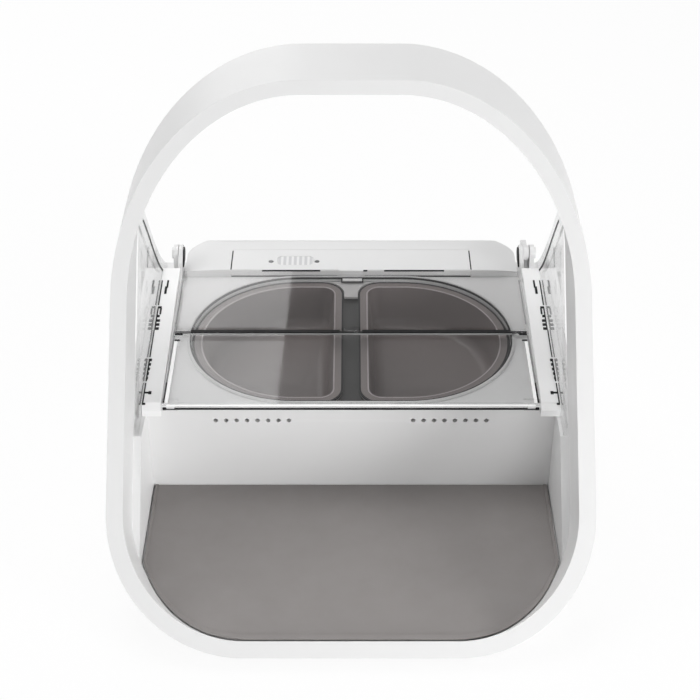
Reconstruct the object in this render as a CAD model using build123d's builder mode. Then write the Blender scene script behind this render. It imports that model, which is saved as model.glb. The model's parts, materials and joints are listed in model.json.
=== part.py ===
from build123d import *
import math
import os

os.makedirs("parts", exist_ok=True)

# The feeder stands on z = 0. X runs across it, +Y to its back, +Z up.
# All sizes are millimetres.

# Whole object
WIDTH = 230.0
LENGTH = 322.0
HEIGHT = 208.0
HALF = WIDTH / 2
FRONT = -LENGTH / 2
REAR = LENGTH / 2
BASE_Z = 2.0

# Plan outline corners, each a quarter ellipse
PLAN_FRONT_X = 65.0
PLAN_FRONT_Y = 46.0
PLAN_REAR_X = 62.0
PLAN_REAR_Y = 52.0

# Arch outline corners seen from the front
ARCH_X = 90.0
ARCH_Z = 78.0

# Leaning hoop: its front plane rises through the mat's front edge
HOOP_FOOT_Y = FRONT + 5.4
HOOP_FOOT_Z = 12.0
HOOP_LEAN = math.radians(46.9)
HOOP_DEPTH = 42.0
HOOP_WEB = 2.5
HOOP_SIDE = 8.0
HOOP_ROOF = 5.5
HOOP_LIP = 5.3

# Skins and clearances
SKIN = 2.5
SEAM = 0.2
RUN_GAP = 0.4
PIN_FIT = 0.05

# Floor and mat
MAT_TOP = 12.0
MAT_THICK = 2.0
FLOOR_Z = MAT_TOP - MAT_THICK
MAT_HALF = HALF - 13.0
MAT_CORNER_X = 60.0
MAT_CORNER_Y = 42.0
MAT_BEAD = 1.6
MAT_BEAD_HIGH = 0.5

# Deck and riser
RISER_Y = -45.0
DECK_Z = 62.0
DECK_THICK = 2.5
INNER_WALL = MAT_HALF + 1.0
HOLE_DIA = 2.4
HOLE_PITCH = 5.3
HOLES_PER_ROW = 8
HOLE_ROW_X = 50.0
HOLE_ROW_Z = 54.6

# Rear housing
HOUSING_Y = 77.0
HOUSING_TOP = 66.8
HOUSING_BLOCK = HALF - 20.8
HOUSING_BACK_Y = 95.0
HOUSING_FLAT_Y = 106.0
HOUSING_FLAT_X = HOUSING_BLOCK - 30.2
HOUSING_END_RUN = 34.2
HOUSING_END_DROP = 3.0
HOUSING_REAR_RUN = 14.0
HOUSING_REAR_DROP = 24.0
HOUSING_CORNER_X = 60.0
HOUSING_CORNER_Y = 25.0
SKIRT_Y = 92.0
SKIRT_LOW_Z = 18.0
SKIRT_SLOPE = (DECK_Z - SKIRT_LOW_Z) / (REAR - SKIRT_Y)

# Bowls
BOWL_MID_Y = 17.4
BOWL_HALF_X = HALF - 30.5
BOWL_HALF_Y = 55.6
BOWL_SPLIT = 4.4
BOWL_CORNER = 12.0
BOWL_RIM_Z = 60.6
BOWL_RIM = 3.0
BOWL_RIM_THICK = 1.8
BOWL_WALL = 1.8
BOWL_FLOOR_Z = 35.0
BOWL_DRAFT = 9.0
BOWL_GAP = 1.0
BOWL_ROUND = 7.0
WELL_WALL = 2.0
WELL_FLOOR_Z = 31.6

# Lid: two clear panels that fold upwards
LID_HALF = HALF - 20.5
LID_UNDER = 64.6
LID_THICK = 2.2
LID_FRONT_Y = -48.4
LID_REAR_Y = 75.5
FOLD_Y = 18.5
FOLD_Z = 64.4
FOLD_BARREL = 1.9
FOLD_PIN = 1.6
FOLD_GAP = 1.2
HINGE_Y = 83.5
HINGE_Z = 74.0
HINGE_PIN = 4.0
HINGE_BOSS = 4.2
LIP_WIDE = 1.6
LIP_HIGH = 0.8
ARM_IN = LID_HALF + 0.1
ARM_OUT = ARM_IN + 2.6
ARM_FRONT_Y = 67.5
GUIDE_Z = 65.7
GUIDE_PIN = 3.0
GUIDE_OUT = LID_HALF + 7.1
LINK = math.hypot(HINGE_Y - FOLD_Y, HINGE_Z - FOLD_Z)
GUIDE_Y = FOLD_Y - math.sqrt(LINK**2 - (GUIDE_Z - FOLD_Z) ** 2)
LID_OPEN = 83.0
RAIL_TILT = math.atan2(HINGE_Z - GUIDE_Z, HINGE_Y - GUIDE_Y)
REST_TILT = math.atan2(HINGE_Z - FOLD_Z, HINGE_Y - FOLD_Y) - RAIL_TILT
OPEN_REACH = 2 * LINK * math.cos(math.radians(LID_OPEN) - REST_TILT)

# Side rails and clear side guards
RAIL_IN = LID_HALF + 0.5
RAIL_OUT = GUIDE_OUT + 2.8
RAIL_FRONT_Y = -51.0
RAIL_REAR_Y = 64.5
RAIL_COVER = 3.0
SLOT_FIT = 0.15
GUARD_IN = RAIL_OUT + SEAM
GUARD_THICK = 1.8
GUARD_LIP = 8.0

# Lid drive gears
TOOTH_HALF = 0.66
SECTOR_TEETH = 30
DRIVE_TEETH = 10
WHEEL_TEETH = 20
MOTOR_TEETH = 8
SECTOR_MODULE = 1.0
WHEEL_MODULE = 0.8
SECTOR_IN = ARM_OUT + 0.3
SECTOR_THICK = 3.0
GEAR_Y = HINGE_Y
GEAR_Z = HINGE_Z - SECTOR_MODULE * (SECTOR_TEETH + DRIVE_TEETH) / 2
MOTOR_ANGLE = math.radians(-30)
MOTOR_ARM = WHEEL_MODULE * (WHEEL_TEETH + MOTOR_TEETH) / 2
MOTOR_Y = GEAR_Y + MOTOR_ARM * math.cos(MOTOR_ANGLE)
MOTOR_Z = GEAR_Z + MOTOR_ARM * math.sin(MOTOR_ANGLE)
MOTOR_DIA = 20.0
MOTOR_LONG = 40.0
WHEEL_X = HOUSING_BLOCK - 36.2
FRAME_IN = WHEEL_X - 3.5
FRAME_OUT = HOUSING_BLOCK - 11.0
FRAME_TOP = DECK_Z - DECK_THICK - 3.0
FRAME_PLATE = 2.0
WHEEL_THICK = 4.0

# Access cover and indicator on the rear housing
COVER_HALF = HOUSING_BLOCK - 26.2
COVER_BACK_Y = 98.0
COVER_THICK = 2.2
TAB_HALF = 7.0
TAB_PROUD = 0.7
TAB_LOW = DECK_Z - 2.0
WINDOW_X = -31.8
WINDOW_Y = 86.6
WINDOW_LONG = 20.6
WINDOW_WIDE = 9.4
LAMP_DIA = 3.0
LAMP_X = (-45.6, -19.4)
LAMP_Y = 85.6

# Cells, doors, boards, buttons, feet and screws
CELL_DIA = 26.2
CELL_LONG = 50.0
CELL_PITCH = 28.0
BAY_X = 61.0
BAY_Y = 15.0
BAY_HALF_X = 30.0
BAY_HALF_Y = 31.0
BAY_WALL = 1.6
DOOR_SLIDE = 8.0
DOOR_LAP = 1.0
DOOR_RECESS = 1.8
BUTTON_DIA = 8.0
BUTTON_X = (-26.0, 0.0, 26.0)
BUTTON_Z = 10.5
FOOT_DIA = 16.0
FOOT_FRONT = (HALF - 43.0, FRONT + 29.0)
FOOT_REAR = (HALF - 31.0, REAR - 49.0)
FOOT_PLACES = [(side * x, y) for x, y in (FOOT_FRONT, FOOT_REAR) for side in (-1, 1)]
SCREW_FRONT = (HALF - 19.0, FRONT + 91.0)
SCREW_MIDDLE = (HALF - 17.0, 60.0)
SCREW_REAR = (HALF - 27.0, REAR - 33.0)
SCREW_PLACES = [(side * x, y) for x, y in (SCREW_FRONT, SCREW_MIDDLE, SCREW_REAR) for side in (-1, 1)]
SCREW_DIA = 3.0
SCREW_HEAD = 6.0
SCREW_TOP = 14.0
BOSS_DIA = 7.0
BOARD_THICK = 1.6
BOARD_LEG = 3.0
BOARD_Z = 11.0
BOARD_X = -21.0
BOARD_WIDE = 100.0
BOARD_DEEP = 36.0
BOARD_BEHIND = 15.5
FAR = 400.0


def save(builder, name):
    builder.part.label = name
    export_step(builder.part, f"parts/{name}.step")


def hoop_front(z):
    """Y of the hoop's leaning front plane at height z."""
    return HOOP_FOOT_Y + (z - HOOP_FOOT_Z) / math.tan(HOOP_LEAN)


def plan_outline(side, front, corner_x, corner_y):
    """Outline from above, set in from the outermost one."""
    half = HALF - side
    low = FRONT + front
    high = REAR - side
    front_x = corner_x - side
    front_y = corner_y - front
    rear_x = PLAN_REAR_X - side
    rear_y = PLAN_REAR_Y - side
    with BuildSketch() as outline:
        with BuildLine():
            Line((half - front_x, low), (front_x - half, low))
            EllipticalCenterArc((front_x - half, low + front_y), front_x, front_y, start_angle=180, arc_size=90)
            Line((-half, low + front_y), (-half, high - rear_y))
            EllipticalCenterArc((rear_x - half, high - rear_y), rear_x, rear_y, start_angle=90, arc_size=90)
            Line((rear_x - half, high), (half - rear_x, high))
            EllipticalCenterArc((half - rear_x, high - rear_y), rear_x, rear_y, start_angle=0, arc_size=90)
            Line((half, high - rear_y), (half, low + front_y))
            EllipticalCenterArc((half - front_x, low + front_y), front_x, front_y, start_angle=270, arc_size=90)
        make_face()
    return outline.sketch


def arch_outline(side, roof, low):
    """Outline from the front: straight sides and a flat top with elliptical corners."""
    half = HALF - side
    top = HEIGHT - roof
    wide = ARCH_X - side
    tall = ARCH_Z - roof
    with BuildSketch() as outline:
        with BuildLine():
            Line((-half, low), (-half, top - tall))
            EllipticalCenterArc((wide - half, top - tall), wide, tall, start_angle=90, arc_size=90)
            Line((wide - half, top), (half - wide, top))
            EllipticalCenterArc((half - wide, top - tall), wide, tall, start_angle=0, arc_size=90)
            Line((half, top - tall), (half, low))
            Line((half, low), (-half, low))
        make_face()
    return outline.sketch


def foot_prism(side, front):
    """Space square behind the outline that the plan gives on the leaning plane."""
    lean = (0, -math.sin(HOOP_LEAN), math.cos(HOOP_LEAN))
    stretch = 1 / math.cos(HOOP_LEAN)
    half = HALF - side
    low = (FRONT + front - HOOP_FOOT_Y) * stretch
    wide = PLAN_FRONT_X - side
    tall = (PLAN_FRONT_Y - front) * stretch
    with BuildPart() as prism:
        with BuildSketch(Plane(origin=(0, HOOP_FOOT_Y, HOOP_FOOT_Z), x_dir=(1, 0, 0), z_dir=lean)):
            with BuildLine():
                Line((half - wide, low), (wide - half, low))
                EllipticalCenterArc((wide - half, low + tall), wide, tall, start_angle=180, arc_size=90)
                Line((-half, low + tall), (-half, FAR))
                Line((-half, FAR), (half, FAR))
                Line((half, FAR), (half, low + tall))
                EllipticalCenterArc((half - wide, low + tall), wide, tall, start_angle=270, arc_size=90)
            make_face()
        extrude(amount=FAR, both=True)
    return prism.part


def envelope(side, roof, front, low):
    """The arch drawn through the whole length, within the plan outline and the undercut foot."""
    with BuildPart() as solid:
        with BuildSketch(Plane.XY.offset(low)):
            add(plan_outline(side, front, PLAN_FRONT_X, PLAN_FRONT_Y))
        extrude(amount=HEIGHT - low)
        with BuildSketch(Plane.XZ):
            add(arch_outline(side, roof, low))
        extrude(amount=LENGTH, both=True, mode=Mode.INTERSECT)
        add(foot_prism(side, front), mode=Mode.INTERSECT)
    return solid.part


def leaning_slab(near, far):
    """Space between two planes that lean with the hoop, near and far behind its front."""
    with BuildPart() as slab:
        with BuildSketch(Plane.YZ):
            with BuildLine():
                Polyline(
                    (hoop_front(-HEIGHT) + near, -HEIGHT),
                    (hoop_front(2 * HEIGHT) + near, 2 * HEIGHT),
                    (hoop_front(2 * HEIGHT) + far, 2 * HEIGHT),
                    (hoop_front(-HEIGHT) + far, -HEIGHT),
                    close=True,
                )
            make_face()
        extrude(amount=WIDTH, both=True)
    return slab.part


def box_between(x0, x1, y0, y1, z0, z1, mode=Mode.ADD):
    """A box given by its two corners, for use inside a part."""
    with Locations(((x0 + x1) / 2, (y0 + y1) / 2, (z0 + z1) / 2)):
        Box(abs(x1 - x0), abs(y1 - y0), abs(z1 - z0), mode=mode)


def rod_x(x0, x1, y, z, dia, mode=Mode.ADD):
    """A round bar along X from x0 to x1, for use inside a part."""
    with Locations(Location(((x0 + x1) / 2, y, z), (0, 90, 0))):
        Cylinder(dia / 2, abs(x1 - x0), mode=mode)


def rod_y(x, y0, y1, z, dia, mode=Mode.ADD):
    """A round bar along Y from y0 to y1, for use inside a part."""
    with Locations(Location((x, (y0 + y1) / 2, z), (90, 0, 0))):
        Cylinder(dia / 2, abs(y1 - y0), mode=mode)


# Hoop: outer shell with its front face, inner shell with its back face, and the antenna coil

OUTER_SKIN = (2.5, 1.8, 1.8, 4.0)
SHELL_FIT = 0.05
INNER_START = tuple(value + SHELL_FIT for value in OUTER_SKIN)
INNER_SKIN = (5.5, 3.7, 3.5, 8.0)
HOOP_BORE = (HOOP_SIDE, HOOP_ROOF, HOOP_LIP, FLOOR_Z)
COIL_OUTSIDE = (3.0, 2.1, 2.1, 4.8)
COIL_INSIDE = (4.9, 3.4, 3.2, 7.2)


def hoop_slice(inset, near, far):
    """The envelope set in by inset, between two leaning planes."""
    with BuildPart() as piece:
        add(envelope(*inset))
        add(leaning_slab(near, far), mode=Mode.INTERSECT)
    return piece.part


def hoop_outer_shell():
    with BuildPart() as shell:
        add(hoop_slice((0, 0, 0, BASE_Z), 0, HOOP_DEPTH))
        add(hoop_slice(OUTER_SKIN, HOOP_WEB, HOOP_DEPTH + FAR), mode=Mode.SUBTRACT)
        add(envelope(*HOOP_BORE), mode=Mode.SUBTRACT)
    return shell


def coil_channel():
    """Space between the two skins, ahead of the inner shell's back face."""
    with BuildPart() as channel:
        add(hoop_slice(OUTER_SKIN, 0, HOOP_DEPTH - HOOP_WEB))
        add(envelope(*INNER_SKIN), mode=Mode.SUBTRACT)
    return channel.part


def hoop_inner_shell():
    with BuildPart() as shell:
        add(hoop_slice(INNER_START, HOOP_WEB, HOOP_DEPTH))
        add(coil_channel(), mode=Mode.SUBTRACT)
        add(envelope(*HOOP_BORE), mode=Mode.SUBTRACT)
    return shell


def antenna_coil():
    with BuildPart() as coil:
        add(envelope(*COIL_OUTSIDE))
        add(envelope(*COIL_INSIDE), mode=Mode.SUBTRACT)
        add(leaning_slab(HOOP_DEPTH * 0.2, HOOP_DEPTH * 0.8), mode=Mode.INTERSECT)
    return coil


# Body: side walls, floor, riser with its two rows of holes, and deck


def skirt_top(y, inset=0.0):
    """Height of the sloping back at y, set in square to its slope."""
    return DECK_Z - (y - SKIRT_Y) * SKIRT_SLOPE - inset * math.hypot(1, SKIRT_SLOPE)


def body_shell():
    low_y = hoop_front(BASE_Z) + HOOP_DEPTH
    with BuildPart() as shell:
        add(envelope(0, 0, 0, BASE_Z))
        add(envelope(SKIN, 0, SKIN, -HEIGHT), mode=Mode.SUBTRACT)
        with BuildSketch(Plane.YZ):
            with BuildLine():
                Polyline(
                    (low_y, BASE_Z),
                    (hoop_front(DECK_Z) + HOOP_DEPTH, DECK_Z),
                    (SKIRT_Y, DECK_Z),
                    (HOUSING_BACK_Y, skirt_top(HOUSING_BACK_Y)),
                    (HOUSING_BACK_Y, BASE_Z),
                    close=True,
                )
            make_face()
        extrude(amount=WIDTH, both=True, mode=Mode.INTERSECT)
    return shell


def bowl_oval(grow):
    """Oval of both bowls together, grown all round."""
    middle = BOWL_HALF_X - BOWL_HALF_Y
    radius = BOWL_HALF_Y + grow
    with Locations((0, BOWL_MID_Y)):
        SlotCenterToCenter(2 * middle, 2 * radius)


def screw_boss(x, y, top):
    """Boss from the bottom plate up to top, with a blind hole, in the part being built."""
    low = BASE_Z + SKIN + SEAM
    with Locations((x, y, (low + top) / 2)):
        Cylinder(BOSS_DIA / 2, top - low)
    with Locations((x, y, (low + min(top, SCREW_TOP)) / 2)):
        Cylinder(SCREW_DIA / 2 + 0.01, min(top, SCREW_TOP) - low, mode=Mode.SUBTRACT)


def cut_tab_notch():
    """Room for the access cover's tab, cut from the part being built."""
    half = TAB_HALF + SEAM
    box_between(
        -half,
        half,
        HOUSING_Y - TAB_PROUD - SEAM,
        HOUSING_Y + COVER_THICK + SEAM,
        TAB_LOW - SEAM,
        FAR,
        mode=Mode.SUBTRACT,
    )


def deck_panel():
    edge = HALF - SKIN - SEAM
    flange_y = HOOP_DEPTH + SKIN
    with BuildPart() as deck:
        # flange that closes the space between the side walls and the body shell
        add(leaning_slab(HOOP_DEPTH, flange_y))
        box_between(-edge, edge, FRONT, REAR, FLOOR_Z - SKIN, DECK_Z, mode=Mode.INTERSECT)
        # floor under the mat, side walls and riser
        box_between(-INNER_WALL - SKIN, INNER_WALL + SKIN, FRONT, RISER_Y + SKIN, FLOOR_Z - SKIN, DECK_Z)
        box_between(-edge, edge, FRONT, HOUSING_BACK_Y - SEAM, DECK_Z - DECK_THICK, DECK_Z)
        box_between(-INNER_WALL, INNER_WALL, FRONT, RISER_Y, FLOOR_Z, FAR, mode=Mode.SUBTRACT)
        # the back slopes with the rear housing and the sides follow the body shell
        with BuildSketch(Plane.YZ):
            with BuildLine():
                Polyline(
                    (FRONT, 0),
                    (FRONT, DECK_Z),
                    (SKIRT_Y, DECK_Z),
                    (REAR, skirt_top(REAR)),
                    (REAR, 0),
                    close=True,
                )
            make_face()
        extrude(amount=WIDTH, both=True, mode=Mode.INTERSECT)
        add(envelope(SKIN + SEAM, 0, SKIN + SEAM, 0), mode=Mode.INTERSECT)
        # room for the rear housing
        box_between(
            -HOUSING_BLOCK - SEAM, HOUSING_BLOCK + SEAM, HOUSING_Y - SEAM, REAR, 0, FAR, mode=Mode.SUBTRACT
        )
        cut_tab_notch()
        # everything behind the hoop's back plane
        add(leaning_slab(HOOP_DEPTH, HOOP_DEPTH + 2 * FAR), mode=Mode.INTERSECT)
        # bowl opening
        with BuildSketch(Plane.XY.offset(DECK_Z)):
            bowl_oval(BOWL_GAP)
        extrude(amount=-DECK_THICK, mode=Mode.SUBTRACT)
        # two rows of holes in the riser
        reach = (HOLES_PER_ROW - 1) * HOLE_PITCH / 2
        for side in (-1, 1):
            for index in range(HOLES_PER_ROW):
                x = side * HOLE_ROW_X + index * HOLE_PITCH - reach
                rod_y(x, RISER_Y - 1, RISER_Y + SKIN + 1, HOLE_ROW_Z, HOLE_DIA, mode=Mode.SUBTRACT)
        for x, y in SCREW_PLACES:
            if y < HOUSING_BACK_Y:
                screw_boss(x, y, FLOOR_Z - SKIN if y < RISER_Y else DECK_Z - DECK_THICK)
        # slot for the lid's toothed sector
        sector_tip = SECTOR_MODULE * (SECTOR_TEETH / 2 + 1)
        box_between(
            SECTOR_IN - RUN_GAP,
            SECTOR_IN + SECTOR_THICK + RUN_GAP,
            HINGE_Y - sector_tip,
            HINGE_Y + sector_tip,
            DECK_Z - 2 * DECK_THICK,
            FAR,
            mode=Mode.SUBTRACT,
        )
    return deck


def mat_middle(side, front, corner_x, corner_y):
    """Space within the mat's raised bead."""
    with BuildPart() as middle:
        with BuildSketch(Plane.XY.offset(MAT_TOP)):
            add(plan_outline(side, front, corner_x, corner_y))
        extrude(amount=FAR)
        add(foot_prism(HOOP_SIDE + RUN_GAP + MAT_BEAD, front), mode=Mode.INTERSECT)
    return middle.part


def floor_mat():
    side = HALF - MAT_HALF
    front = HOOP_FOOT_Y - FRONT + RUN_GAP
    corner_x = MAT_CORNER_X + side
    corner_y = MAT_CORNER_Y + front
    with BuildPart() as mat:
        with BuildSketch(Plane.XY.offset(FLOOR_Z)):
            add(plan_outline(side, front, corner_x, corner_y))
        extrude(amount=MAT_THICK)
        # raised bead round the edge
        with BuildSketch(Plane.XY.offset(MAT_TOP)):
            add(plan_outline(side, front, corner_x, corner_y))
        extrude(amount=MAT_BEAD_HIGH)
        add(foot_prism(HOOP_SIDE + RUN_GAP, front), mode=Mode.INTERSECT)
        add(mat_middle(side + MAT_BEAD, front + MAT_BEAD, corner_x, corner_y), mode=Mode.SUBTRACT)
        box_between(-FAR, FAR, RISER_Y - RUN_GAP, FAR, 0, FAR, mode=Mode.SUBTRACT)
    return mat


# Rear housing: a raised block behind the lid that swells out to the full width


def housing_block(inset):
    """The raised block behind the lid: rounded down at its ends and at its back."""
    top = HOUSING_TOP - inset
    low = BASE_Z if inset == 0 else -HEIGHT
    run = HOUSING_REAR_RUN - inset
    drop = HOUSING_REAR_DROP - inset
    end_run = HOUSING_END_RUN - inset
    end_drop = HOUSING_END_DROP
    half = HOUSING_BLOCK - inset
    with BuildPart() as block:
        with BuildSketch(Plane.YZ):
            with BuildLine():
                Line((HOUSING_Y + inset, low), (HOUSING_Y + inset, top))
                Line((HOUSING_Y + inset, top), (HOUSING_FLAT_Y, top))
                EllipticalCenterArc((HOUSING_FLAT_Y, top - drop), run, drop, start_angle=0, arc_size=90)
                Line((HOUSING_FLAT_Y + run, top - drop), (HOUSING_FLAT_Y + run, low))
                Line((HOUSING_FLAT_Y + run, low), (HOUSING_Y + inset, low))
            make_face()
        extrude(amount=half, both=True)
        far = HOUSING_FLAT_X + end_run
        with BuildSketch(Plane.XZ):
            with BuildLine():
                Line((-far, low), (-far, top - end_drop))
                EllipticalCenterArc((-HOUSING_FLAT_X, top - end_drop), end_run, end_drop, start_angle=90, arc_size=90)
                Line((-HOUSING_FLAT_X, top), (HOUSING_FLAT_X, top))
                EllipticalCenterArc((HOUSING_FLAT_X, top - end_drop), end_run, end_drop, start_angle=0, arc_size=90)
                Line((far, top - end_drop), (far, low))
                Line((far, low), (-far, low))
            make_face()
        extrude(amount=LENGTH, both=True, mode=Mode.INTERSECT)
        # the back corners sweep forward, seen from above
        back = HOUSING_FLAT_Y + run
        wide = HOUSING_CORNER_X - inset
        deep = HOUSING_CORNER_Y - inset
        with BuildSketch(Plane.XY.offset(low)):
            with BuildLine():
                Line((-half, 0), (-half, back - deep))
                EllipticalCenterArc((wide - half, back - deep), wide, deep, start_angle=90, arc_size=90)
                Line((wide - half, back), (half - wide, back))
                EllipticalCenterArc((half - wide, back - deep), wide, deep, start_angle=0, arc_size=90)
                Line((half, back - deep), (half, 0))
                Line((half, 0), (-half, 0))
            make_face()
        extrude(amount=2 * HEIGHT, mode=Mode.INTERSECT)
    return block.part


def housing_form(inset):
    """Closed form of the rear housing, set in from its outside."""
    low = BASE_Z if inset == 0 else -HEIGHT
    back = REAR - inset
    with BuildPart() as form:
        with BuildSketch(Plane.YZ):
            with BuildLine():
                Polyline(
                    (HOUSING_BACK_Y, low),
                    (HOUSING_BACK_Y, skirt_top(HOUSING_BACK_Y, inset)),
                    (back, skirt_top(back, inset)),
                    (back, low),
                    close=True,
                )
            make_face()
        extrude(amount=WIDTH, both=True)
        add(housing_block(inset))
        with BuildSketch(Plane.XY.offset(low)):
            add(plan_outline(inset, 0, PLAN_FRONT_X, PLAN_FRONT_Y))
        extrude(amount=HOUSING_TOP - low, mode=Mode.INTERSECT)
    return form.part


def housing_hollow():
    """Space inside the rear housing's skin."""
    wall = HOUSING_BLOCK - SKIN
    with BuildPart() as hollow:
        add(housing_form(SKIN))
        for side in (-1, 1):
            box_between(side * wall, side * FAR, 0, HOUSING_BACK_Y + SKIN, -FAR, FAR, mode=Mode.SUBTRACT)
    return hollow.part


def rear_housing():
    block_low = DECK_Z - DECK_THICK
    with BuildPart() as housing:
        add(housing_form(0))
        for side in (-1, 1):
            box_between(side * HOUSING_BLOCK, side * FAR, 0, HOUSING_BACK_Y, 0, FAR, mode=Mode.SUBTRACT)
        box_between(-FAR, FAR, 0, HOUSING_BACK_Y, 0, block_low, mode=Mode.SUBTRACT)
        add(housing_hollow(), mode=Mode.SUBTRACT)
        # seat of the access cover
        box_between(
            -COVER_HALF - SEAM,
            COVER_HALF + SEAM,
            0,
            COVER_BACK_Y + SEAM,
            DECK_Z,
            FAR,
            mode=Mode.SUBTRACT,
        )
        cut_tab_notch()
        # room for the bottom plate, the drive wheel and the buttons
        inside = HALF - SKIN
        plate_top = BASE_Z + SKIN + SEAM
        box_between(-inside, inside, 0, HOUSING_BACK_Y + 2 * SKIN, 0, plate_top, mode=Mode.SUBTRACT)
        wheel_room = WHEEL_MODULE * (WHEEL_TEETH + 3)
        rod_x(WHEEL_X - 1, WHEEL_X + WHEEL_THICK + 1, GEAR_Y, GEAR_Z, wheel_room, mode=Mode.SUBTRACT)
        for x in BUTTON_X:
            rod_y(x, REAR - 2 * SKIN, REAR + 1, BUTTON_Z, BUTTON_DIA + 2 * SEAM, mode=Mode.SUBTRACT)
        for x, y in SCREW_PLACES:
            if y > HOUSING_BACK_Y:
                screw_boss(x, y, skirt_top(y + BOSS_DIA))
    return housing


def access_cover():
    low = DECK_Z + SEAM
    with BuildPart() as cover:
        box_between(-COVER_HALF, COVER_HALF, HOUSING_Y, COVER_BACK_Y, HOUSING_TOP - COVER_THICK, HOUSING_TOP)
        box_between(-COVER_HALF, COVER_HALF, HOUSING_Y, HOUSING_Y + COVER_THICK, low, HOUSING_TOP)
        box_between(-TAB_HALF, TAB_HALF, HOUSING_Y - TAB_PROUD, HOUSING_Y + COVER_THICK, TAB_LOW, HOUSING_TOP)
        top_front = cover.edges().filter_by(Axis.X).group_by(Axis.Z)[-1].sort_by(Axis.Y)[0]
        chamfer(top_front, 0.4)
        with BuildSketch(Plane.XY.offset(HOUSING_TOP)):
            with Locations((WINDOW_X, WINDOW_Y)):
                RectangleRounded(WINDOW_LONG, WINDOW_WIDE, WINDOW_WIDE * 0.32)
            with Locations(*[(x, LAMP_Y) for x in LAMP_X]):
                Circle(LAMP_DIA / 2)
        extrude(amount=-COVER_THICK, mode=Mode.SUBTRACT)
    return cover


def indicator_window():
    with BuildPart() as window:
        with BuildSketch(Plane.XY.offset(HOUSING_TOP - 0.15)):
            with Locations((WINDOW_X, WINDOW_Y)):
                RectangleRounded(WINDOW_LONG - SEAM, WINDOW_WIDE - SEAM, WINDOW_WIDE * 0.32 - SEAM / 2)
        extrude(amount=-COVER_THICK + 0.3)
    return window


def indicator_lamp(x):
    with BuildPart() as lamp:
        with Locations((x, LAMP_Y, HOUSING_TOP - COVER_THICK / 2)):
            Cylinder(LAMP_DIA / 2 - SEAM / 2, COVER_THICK)
        fillet(lamp.edges().group_by(Axis.Z)[-1], 0.4)
    return lamp


# Bowls and the dark tray that they drop into


def bowl_outline(side, grow):
    """One bowl's D outline: half of the oval, with rounded inner corners."""
    inner = BOWL_SPLIT - grow
    with BuildSketch() as outline:
        bowl_oval(grow)
        with Locations((side * (inner - FAR / 2), 0)):
            Rectangle(FAR, FAR, mode=Mode.SUBTRACT)
        corners = outline.vertices().filter_by(lambda point: abs(abs(point.X) - inner) < SEAM)
        fillet(corners, BOWL_CORNER + grow)
    return outline.sketch


def bowl_hollow(side):
    """Space inside one bowl."""
    with BuildPart() as hollow:
        with BuildSketch(Plane.XY.offset(BOWL_RIM_Z)):
            add(bowl_outline(side, -BOWL_RIM - BOWL_WALL))
        extrude(amount=BOWL_FLOOR_Z + BOWL_WALL - BOWL_RIM_Z, taper=BOWL_DRAFT)
        fillet(hollow.edges().group_by(Axis.Z)[0], BOWL_ROUND - BOWL_WALL / 2)
    return hollow.part


def food_bowl(side):
    with BuildPart() as bowl:
        with BuildSketch(Plane.XY.offset(BOWL_RIM_Z)):
            add(bowl_outline(side, -BOWL_RIM))
        extrude(amount=BOWL_FLOOR_Z - BOWL_RIM_Z, taper=BOWL_DRAFT)
        fillet(bowl.edges().group_by(Axis.Z)[0], BOWL_ROUND)
        with BuildSketch(Plane.XY.offset(BOWL_RIM_Z - BOWL_RIM_THICK)):
            add(bowl_outline(side, 0))
        extrude(amount=BOWL_RIM_THICK)
        add(bowl_hollow(side), mode=Mode.SUBTRACT)
    return bowl


def bowl_tray():
    rest_z = BOWL_RIM_Z - BOWL_RIM_THICK - 0.1
    with BuildPart() as tray:
        with BuildSketch(Plane.XY.offset(WELL_FLOOR_Z)):
            bowl_oval(BOWL_GAP)
        extrude(amount=DECK_Z - DECK_THICK - WELL_FLOOR_Z)
        with BuildSketch(Plane.XY.offset(DECK_Z - DECK_THICK - 1.6)):
            bowl_oval(BOWL_GAP + 2.4)
        extrude(amount=1.6)
        # the two pockets, which leave a bridge between them
        with BuildSketch(Plane.XY.offset(WELL_FLOOR_Z + WELL_WALL)):
            for side in (-1, 1):
                add(bowl_outline(side, -BOWL_RIM + BOWL_GAP))
        extrude(amount=FAR, mode=Mode.SUBTRACT)
        with BuildSketch(Plane.XY.offset(rest_z)):
            bowl_oval(BOWL_GAP + FAR)
        extrude(amount=FAR, mode=Mode.SUBTRACT)
    return tray


# Each step of the seal: bottom, top, outside and inside past the bowls' oval
SEAL_STEPS = ((DECK_Z, DECK_Z + 1.0, 3.2, 1.4), (DECK_Z + 1.0, DECK_Z + 1.4, 2.7, 2.0))


def lid_seal():
    with BuildPart() as seal:
        for low, high, outer, inner in SEAL_STEPS:
            with BuildSketch(Plane.XY.offset(low)):
                bowl_oval(outer)
            extrude(amount=high - low)
            with BuildSketch(Plane.XY.offset(low)):
                bowl_oval(inner)
            extrude(amount=high - low, mode=Mode.SUBTRACT)
    return seal


# Folding lid

KNUCKLE_OUT = LID_HALF - 0.1
KNUCKLE_LONG = 3.0
KNUCKLE_STEP = KNUCKLE_LONG + RUN_GAP
MID_KNUCKLE = 3.6


def front_knuckles():
    """X spans of the fold knuckles on the front panel."""
    outer = [(side * (KNUCKLE_OUT - KNUCKLE_LONG), side * KNUCKLE_OUT) for side in (-1, 1)]
    return outer + [(RUN_GAP / 2, MID_KNUCKLE)]


def rear_knuckles():
    """X spans of the fold knuckles on the rear panel."""
    start = KNUCKLE_OUT - KNUCKLE_STEP
    outer = [(side * (start - KNUCKLE_LONG), side * start) for side in (-1, 1)]
    return outer + [(-MID_KNUCKLE, -RUN_GAP / 2)]


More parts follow.
